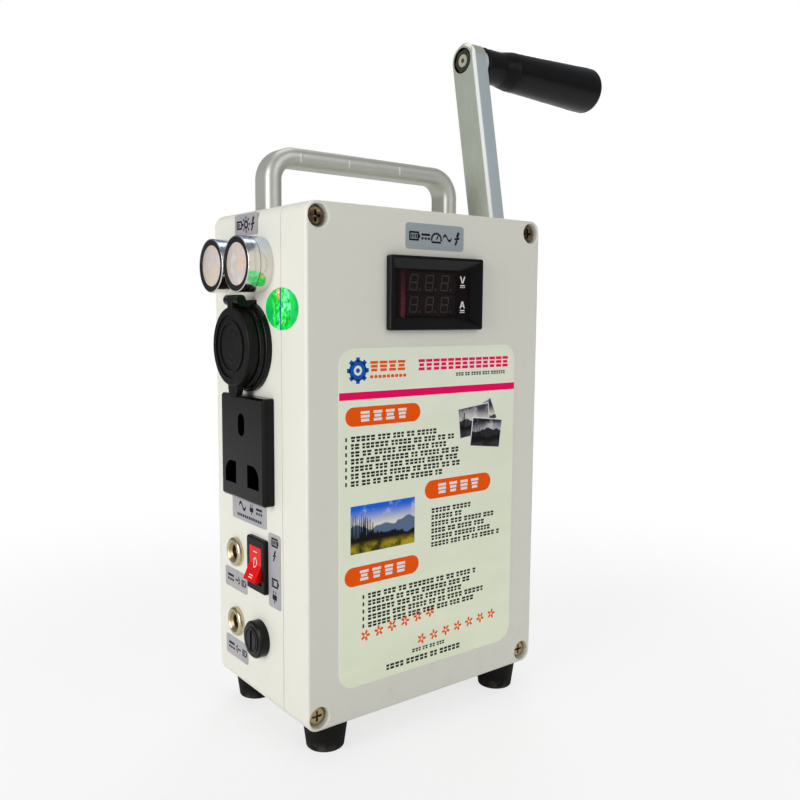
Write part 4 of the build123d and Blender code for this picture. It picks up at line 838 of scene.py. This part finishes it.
# The panel meter: glossy black housing with a sloping rim, a smoked red window pressed in, and
# behind it two rows of three seven-segment digits that are dark while the unit is off.
meter_black = moulded(
    "meter_black", tint(13, 12, 13), roughness=0.22, grain=0.5, relief=0.003, blotch=0.1, coat=0.3
)
wear(meter_black, "meter_housing")
smoke = Finish("smoked_window")
strip_left, strip_right, strip_low, strip_high = -17.2, -14.9, 174.0, 188.0
strip = (smoke.x - strip_left).ramp(-0.1, 0.3) * (1 - (smoke.x - strip_right).ramp(-0.1, 0.1))
red_strip = strip * (1 - smoke.z.ramp(strip_low, strip_high) * 0.7)
smoky = smoke.mix(smoke.noise(14, detail=3), tint(20, 4, 6), tint(28, 7, 10))
smoke.set(
    base_color=smoke.mix(red_strip, smoky, tint(98, 38, 48)),
    specular_ior_level=0.3,
    roughness=0.09 + smoke.noise(5, detail=5).ramp(0.5, 0.8) * 0.12,
    alpha=red_strip * 0.35 + 0.38,
    coat_weight=0.3,
    coat_roughness=0.05,
)
wear(smoke, "meter_window")
block_back, block_face = -24.7, -35.4
meter_parts = Finish("meter_board_parts")
speck = meter_parts.noise(1.2, detail=3)
dark_block = meter_parts.mix(speck, tint(14, 7, 8), tint(20, 9, 10))
behind_face = (meter_parts.y - block_face).ramp(0.0, 0.1)
digit_block = meter_parts.mix(behind_face, dark_block, tint(150, 70, 70))
in_front = 1 - (meter_parts.y - block_back).ramp(-0.1, 0.0)
meter_parts.set(
    base_color=meter_parts.mix(in_front, tint(22, 96, 48), digit_block),
    roughness=0.4 + speck * 0.1,
)
wear(meter_parts, "meter_board")

segments = bmesh.new()
digit_width, digit_height, stroke = 4.1, 6.4, 0.5
level_strokes, upright_strokes = (1, 0, -1), ((-1, 0.5), (1, 0.5), (-1, -0.5), (1, -0.5))
level_length, upright_length = digit_width - stroke * 0.9, digit_height / 2 - stroke * 0.9
slant, digit_face, window_face = 0.14, 35.5, 37.5
for row_v in (182.9, 174.1):
    for column in range(3):
        u = -9.0 + column * 8.05
        for part_v in level_strokes:
            dv = part_v * (digit_height - stroke) / 2
            bar_shape(segments, u + dv * slant, row_v + dv, level_length, stroke, stroke * 0.45)
        for part_u, part_v in upright_strokes:
            dv = part_v * (digit_height - stroke) / 2
            du = part_u * (digit_width - stroke) / 2 + dv * slant
            bar_shape(segments, u + du, row_v + dv, upright_length, stroke, stroke * 0.45, 84)
        disc_shape(segments, u + digit_width / 2 + 1.0, row_v - digit_height / 2 + 0.4, 0.45, 16)
unlit = ink("unlit_segment", tint(158, 142, 124))
print_on("meter_digits", segments, unlit, FRONT, digit_face)

unit_marks = bmesh.new()
mark_u, volt_v, ampere_v = 15.0, 184.4, 174.2
for v, lean_out in ((volt_v, -20), (ampere_v, 20)):
    for side in (-1, 1):
        bar_shape(unit_marks, mark_u + side * 0.62, v, 0.55, 3.0, 0.0, side * lean_out)
    bar_shape(unit_marks, mark_u, v - 2.3, 2.5, 0.4)
    for dash in (-0.95, 0, 0.95):
        bar_shape(unit_marks, mark_u + dash, v - 3.05, 0.55, 0.4)
bar_shape(unit_marks, mark_u, ampere_v - 0.5, 0.9, 0.4)
print_on("meter_unit_marks", unit_marks, white_ink, FRONT, window_face)


# The two lamps: bright-plated aluminium cups on the left wall, painted blue-grey towards the top as
# a painted reflection, with a black trim ring in the mouth and a pearly diffusing lens over the
# light board.
lamp_z, turned_line_x, faint_line_x = 189.0, -65.4, -67.6
plated = Finish("plated_cup")
rings = (plated.x * 3.1 + plated.noise(3, detail=2) * 0.4).math("SINE") * 0.5 + 0.5
misty = plated.noise(6, detail=5)
# Painted reflection: the cups turn blue-grey towards the top, standing in for what they mirror.
painted_top_reflection = (plated.z - lamp_z).ramp(2.0, 9.0)
turned_line = 1 - (plated.x - turned_line_x).size().ramp(0.08, 0.3)
faint_line = 1 - (plated.x - faint_line_x).size().ramp(0.08, 0.9)
cloudy_plate = plated.mix(misty, tint(212, 207, 200), tint(234, 231, 226))
top_reflected_plate = plated.mix(painted_top_reflection, cloudy_plate, tint(200, 213, 230))
plated.set(
    base_color=plated.mix(turned_line * 0.7 + faint_line * 0.15, top_reflected_plate, tint(90, 88, 86)),
    metallic=1.0,
    roughness=0.1 + misty * 0.08 + rings * 0.03,
    normal=plated.bump(rings, 0.0015),
)
wear(plated, "lamp_bodies")
gloss_black = moulded(
    "gloss_black", tint(15, 15, 16), roughness=0.18, grain=0.5, relief=0.003, blotch=0.15, coat=0.4
)
wear(gloss_black, "lamp_rings")
pearl = Finish("pearl_lens")
milk = pearl.noise(5.5, detail=1)
pearly = [
    (0.2, tint(206, 180, 164)), (0.42, tint(228, 200, 172)),
    (0.58, tint(212, 192, 192)), (0.8, tint(236, 222, 208)),
]
outward = milk + (pearl.z - lamp_z).size() * 0.012
pearl.set(
    base_color=pearl.node("ValToRGB", {"stops": pearly}, {0: outward}),
    roughness=0.12 + milk * 0.12,
    coat_weight=0.6,
    coat_roughness=0.06,
    subsurface_weight=0.15,
)
wear(pearl, "lamp_lenses")
board = Finish("circuit_board")
etched = {"Vector": board.place, "Scale": 0.22, "Mortar Size": 0.05}
tracks = board.node("TexBrick", values=etched, output=1)
fibre = board.noise(1.5, detail=3)
pads = board.node("TexVoronoi", {"feature": "F1"}, {"Vector": board.place, "Scale": 0.33})
pad = 1 - pads.ramp(0.16, 0.2)
green = board.mix(fibre, tint(18, 88, 44), tint(24, 104, 54))
board.set(
    base_color=board.mix(
        pad, board.mix(tracks * 0.5, green, tint(52, 140, 72)), tint(196, 190, 160)
    ),
    roughness=0.32 + fibre * 0.15,
    metallic=pad * 0.8,
)
wear(board, "lamp_boards")


# The charging socket: glossy black moulding with a stepped flange and two hinge ears; under its
# flap are two charging ports in a matt insert.
socket_black = moulded(
    "socket_black", tint(13, 13, 14), roughness=0.26, grain=0.45, relief=0.004, blotch=0.15,
    coat=0.15
)
wear(socket_black, "usb_socket")
socket_y, socket_z, port_face = 5.5, 157.0, 63.3
port_heights = (socket_z - 4.5, socket_z + 4.5)
insert_colour = tint(30, 30, 32)
insert = moulded(
    "insert_plastic", insert_colour, roughness=0.46, grain=0.35, relief=0.008, blotch=0.1
)
tongue_face, tongue_back = -53.4, -51.3
past_tongue = (insert.x - tongue_back).ramp(0.0, 0.1)
insert_tongue = (insert.x - tongue_face).ramp(0.0, 0.02) * (1 - past_tongue)
in_port = 1 - (insert.y - socket_y).size().ramp(5.2, 5.25)
insert.set(base_color=insert.mix(insert_tongue * in_port, insert_colour, tint(232, 112, 30)))
wear(insert, "usb_module")
port_liners = bmesh.new()
for v in port_heights:
    place = Matrix.Translation((-socket_y, v, 0)) @ Matrix.Diagonal((12.5, 5.1, 1, 1))
    rim = bmesh.ops.create_grid(
        port_liners, x_segments=1, y_segments=1, size=0.5, matrix=place
    )["verts"]
    face = rim[0].link_faces[0]
    walls = bmesh.ops.extrude_edge_only(port_liners, edges=face.edges[:])["geom"]
    inner_rim = [item for item in walls if isinstance(item, bmesh.types.BMVert)]
    bmesh.ops.translate(port_liners, vec=(0, 0, -9.6), verts=inner_rim)
    bmesh.ops.delete(port_liners, geom=[face], context="FACES_ONLY")
bmesh.ops.recalc_face_normals(port_liners, faces=port_liners.faces)
bmesh.ops.solidify(port_liners, geom=port_liners.faces[:], thickness=0.25)
bmesh.ops.translate(port_liners, vec=(0, 0, port_face), verts=port_liners.verts)
tin = worked_metal("tinned_steel", tint(190, 191, 192), roughness=0.25, grain=0.4, stain=0.1)
finish_piece("usb_port_liners", port_liners, tin, "box", LEFT)
port_marks = bmesh.new()
for v in port_heights:
    bar_shape(port_marks, 3.6, v + 0.9, 0.55, 2.3, 0.0, -24)
    bar_shape(port_marks, 3.6, v - 0.9, 0.55, 2.3, 0.0, -24)
    bar_shape(port_marks, 3.6, v, 1.7, 0.5, 0.0, 12)
print_on("usb_port_marks", port_marks, white_ink, LEFT, port_face + 0.1)


# The flap over the charging ports: one soft black rubber moulding with a raised rim and ring, its
# hinge lug and the pull tab all in one.
flap = moulded(
    "flap_rubber", tint(17, 16, 15), roughness=0.48, grain=0.22, relief=0.012, blotch=0.14
)
radius = flap.from_axis(socket_y, socket_z)
ringed = radius.ramp(2.0, 2.6) * (1 - radius.ramp(8.0, 8.4))
grooves = (radius * 2.4).math("SINE").ramp(0.2, 0.8) * ringed
polished = flap.noise(5, detail=5).ramp(0.4, 0.7)
flap.set(
    roughness=0.4 + polished * 0.16,
    normal=flap.bump(flap.noise(0.22, detail=3) * 0.08 + grooves, 0.16),
)
wear(flap, "usb_cap", "usb_cap_pin")


# The mains outlet: glossy black phenolic with a bevelled face and three openings; the brass
# contacts show inside them.
outlet_black = moulded(
    "outlet_black", tint(9, 7, 7), roughness=0.2, grain=0.6, relief=0.004, blotch=0.2, coat=0.2
)
wear(outlet_black, "outlet_housing")
brass = worked_metal(
    "contact_brass", tint(202, 166, 92), roughness=0.25, stretch=(1, 1, 5), grain=0.8, stain=0.25
)
wear(brass, "outlet_contacts", "rocker_terminals")


# The rocker switch: black nylon frame and a glossy red polycarbonate key, whose two faces meet in
# a ridge. Its three positions are marked by one stroke, a ring and two strokes, filled with white.
frame_black = moulded(
    "frame_black", tint(18, 18, 19), roughness=0.36, grain=0.4, relief=0.006, blotch=0.12
)
wear(frame_black, "rocker_frame")
red = moulded("rocker_red", tint(224, 4, 2), roughness=0.24, grain=0.6, relief=0.002, blotch=0.04)
red.set(specular_ior_level=0.25)
wear(red, "rocker_key")
pivot = Vector((-60.4, -0.5, 68.9))
key_tilt, ridge_height, mark_stroke = 12.5, 1.6, 0.34
key_marks = bmesh.new()
for v in (4.9, -4.5, -5.5):
    bar_shape(key_marks, 0, v, 3.0, mark_stroke, 0.1)
ring_shape(key_marks, 0, 0.6, 1.35, mark_stroke, 36, squeeze=1.5)
whole = key_marks.verts[:] + key_marks.edges[:] + key_marks.faces[:]
bmesh.ops.bisect_plane(key_marks, geom=whole, plane_co=(0, 0, 0), plane_no=(0, 1, 0))
bmesh.ops.solidify(key_marks, geom=key_marks.faces[:], thickness=0.08)
for vert in key_marks.verts:
    vert.co.z += ridge_height + 0.04 + abs(vert.co.y) * math.tan(math.radians(key_tilt))
tilted = Matrix.Translation(pivot) @ Matrix.Rotation(math.radians(key_tilt), 4, "Y") @ LEFT
finish_piece("rocker_marks", key_marks, white_ink, "rocker", tilted)


# The two low-voltage jacks: nickel-plated brass, a domed nut outside and a turned barrel with its
# centre pin inside.
nickel = worked_metal(
    "nickel_plate", tint(206, 194, 162), roughness=0.16, grain=0.5, stain=0.22,
    tarnish=tint(140, 112, 64)
)
wear(nickel, "jack_nuts", "jack_pins")
barrel = worked_metal(
    "jack_barrel", tint(164, 146, 112), roughness=0.3, stretch=(8, 1, 1), grain=0.6, stain=0.3,
    tarnish=tint(110, 84, 46)
)
wear(barrel, "jack_bodies")


# The fuse holder: a black bakelite body held in the wall, and a slotted knob of the same; the
# glass fuse that comes out with the knob has plated ends.
fuse_black = moulded(
    "fuse_black", tint(18, 18, 19), roughness=0.3, grain=0.45, relief=0.006, blotch=0.14, coat=0.1
)
wear(fuse_black, "fuse_holder", "fuse_cap")
fuse = Finish("glass_fuse")
fuse_middle = -49.9
ends = (fuse.x - fuse_middle).size().ramp(4.95, 5.0)
fuse_cloud = fuse.noise(2, detail=4)
fuse.set(
    base_color=fuse.mix(ends, tint(206, 222, 218), tint(190, 190, 188)),
    metallic=ends,
    roughness=0.08 + ends * 0.16 + fuse_cloud * 0.06,
    alpha=ends * 0.7 + 0.3,
)
wear(fuse, "glass_fuse")


# Inside: the geared generator between two zinc-plated plates, with sintered gears, bronze bushes,
# a drawn steel can, ferrite magnets and a wound rotor.
plate = worked_metal(
    "zinc_plate", tint(182, 186, 188), roughness=0.32, grain=1.2, relief=0.004, stain=0.2
)
wear(plate, "outer_gear_plate", "inner_gear_plate", "gearbox_spacers", "generator_can")
sintered = worked_metal(
    "sintered_gear", tint(134, 134, 136), roughness=0.36, grain=0.2, relief=0.01, stain=0.25,
    tarnish=tint(70, 58, 40)
)
wear(sintered, "crank_gear", "idler_gear", "rotor_pinion")
bronze = worked_metal(
    "bush_bronze", tint(184, 164, 122), roughness=0.27, grain=0.3, relief=0.006, stain=0.3
)
wear(bronze, "crank_bushes")
ferrite = moulded("ferrite", tint(58, 58, 60), roughness=0.6, grain=0.4, relief=0.01, blotch=0.2)
wear(ferrite, "generator_magnets")
core_x, rotor_z = 17.8, 117.0
rotor = Finish("wound_rotor")
off_core = (rotor.x - core_x).size().ramp(9.9, 10.1)
on_shaft = 1 - rotor.from_axis(0.0, rotor_z).ramp(2.6, 2.8)
strands = (rotor.y * 5.0 + rotor.noise(4) * 6.0).math("SINE") * 0.5 + 0.5
wire_tone = rotor.mix(strands, tint(150, 70, 30), tint(196, 104, 54))
core_tone = rotor.mix((rotor.x * 9.0).math("SINE") > 0.4, tint(112, 112, 114), tint(84, 84, 86))
rotor.set(
    base_color=rotor.mix(on_shaft, rotor.mix(off_core, core_tone, wire_tone), tint(180, 180, 180)),
    metallic=0.9,
    roughness=0.3 + strands * 0.15,
)
wear(rotor, "armature")


# Inside: the battery of shrink-wrapped cells in its two holders, and the two circuit boards on
# nylon supports.
cell_middle = 48.1
wrap = Finish("cell_wrap")
cell_end = (wrap.z - cell_middle).size().ramp(31.2, 31.5)
gloss = wrap.noise(3, detail=4)
film_blue = wrap.mix(gloss, tint(24, 124, 160), tint(32, 138, 176))
wrap.set(
    base_color=wrap.mix(cell_end, film_blue, tint(196, 196, 194)),
    metallic=cell_end,
    roughness=0.26 + gloss * 0.12,
)
wear(wrap, "battery_cells")
green_board = Finish("power_board")
board_face, board_back = -28.2, 29.2
solder = {"Vector": green_board.place, "Scale": 0.25}
pads = 1 - green_board.node("TexVoronoi", {"feature": "F1"}, solder).ramp(0.2, 0.24)
etched = {"Vector": green_board.place, "Scale": 0.12, "Mortar Size": 0.04}
lanes = green_board.node("TexBrick", values=etched, output=1)
past_face = (green_board.y - board_face).ramp(0.0, 0.1)
in_parts = past_face * (1 - (green_board.y - board_back).ramp(0.0, 0.1))
patches = green_board.noise(9, detail=2).ramp(0.45, 0.5)
part_tone = green_board.mix(patches, tint(36, 36, 38), tint(150, 120, 50))
laned = green_board.mix(lanes * 0.6, tint(16, 90, 46), tint(46, 132, 70))
bare_board = green_board.mix(pads, laned, tint(200, 196, 170))
green_board.set(
    base_color=green_board.mix(in_parts, bare_board, part_tone),
    roughness=0.36 + green_board.noise(2, detail=3) * 0.12,
)
wear(green_board, "inverter_board", "charge_board")
nylon = moulded("nylon", tint(226, 222, 208), roughness=0.45, grain=0.4, relief=0.004, blotch=0.03)
wear(nylon, "board_standoffs")
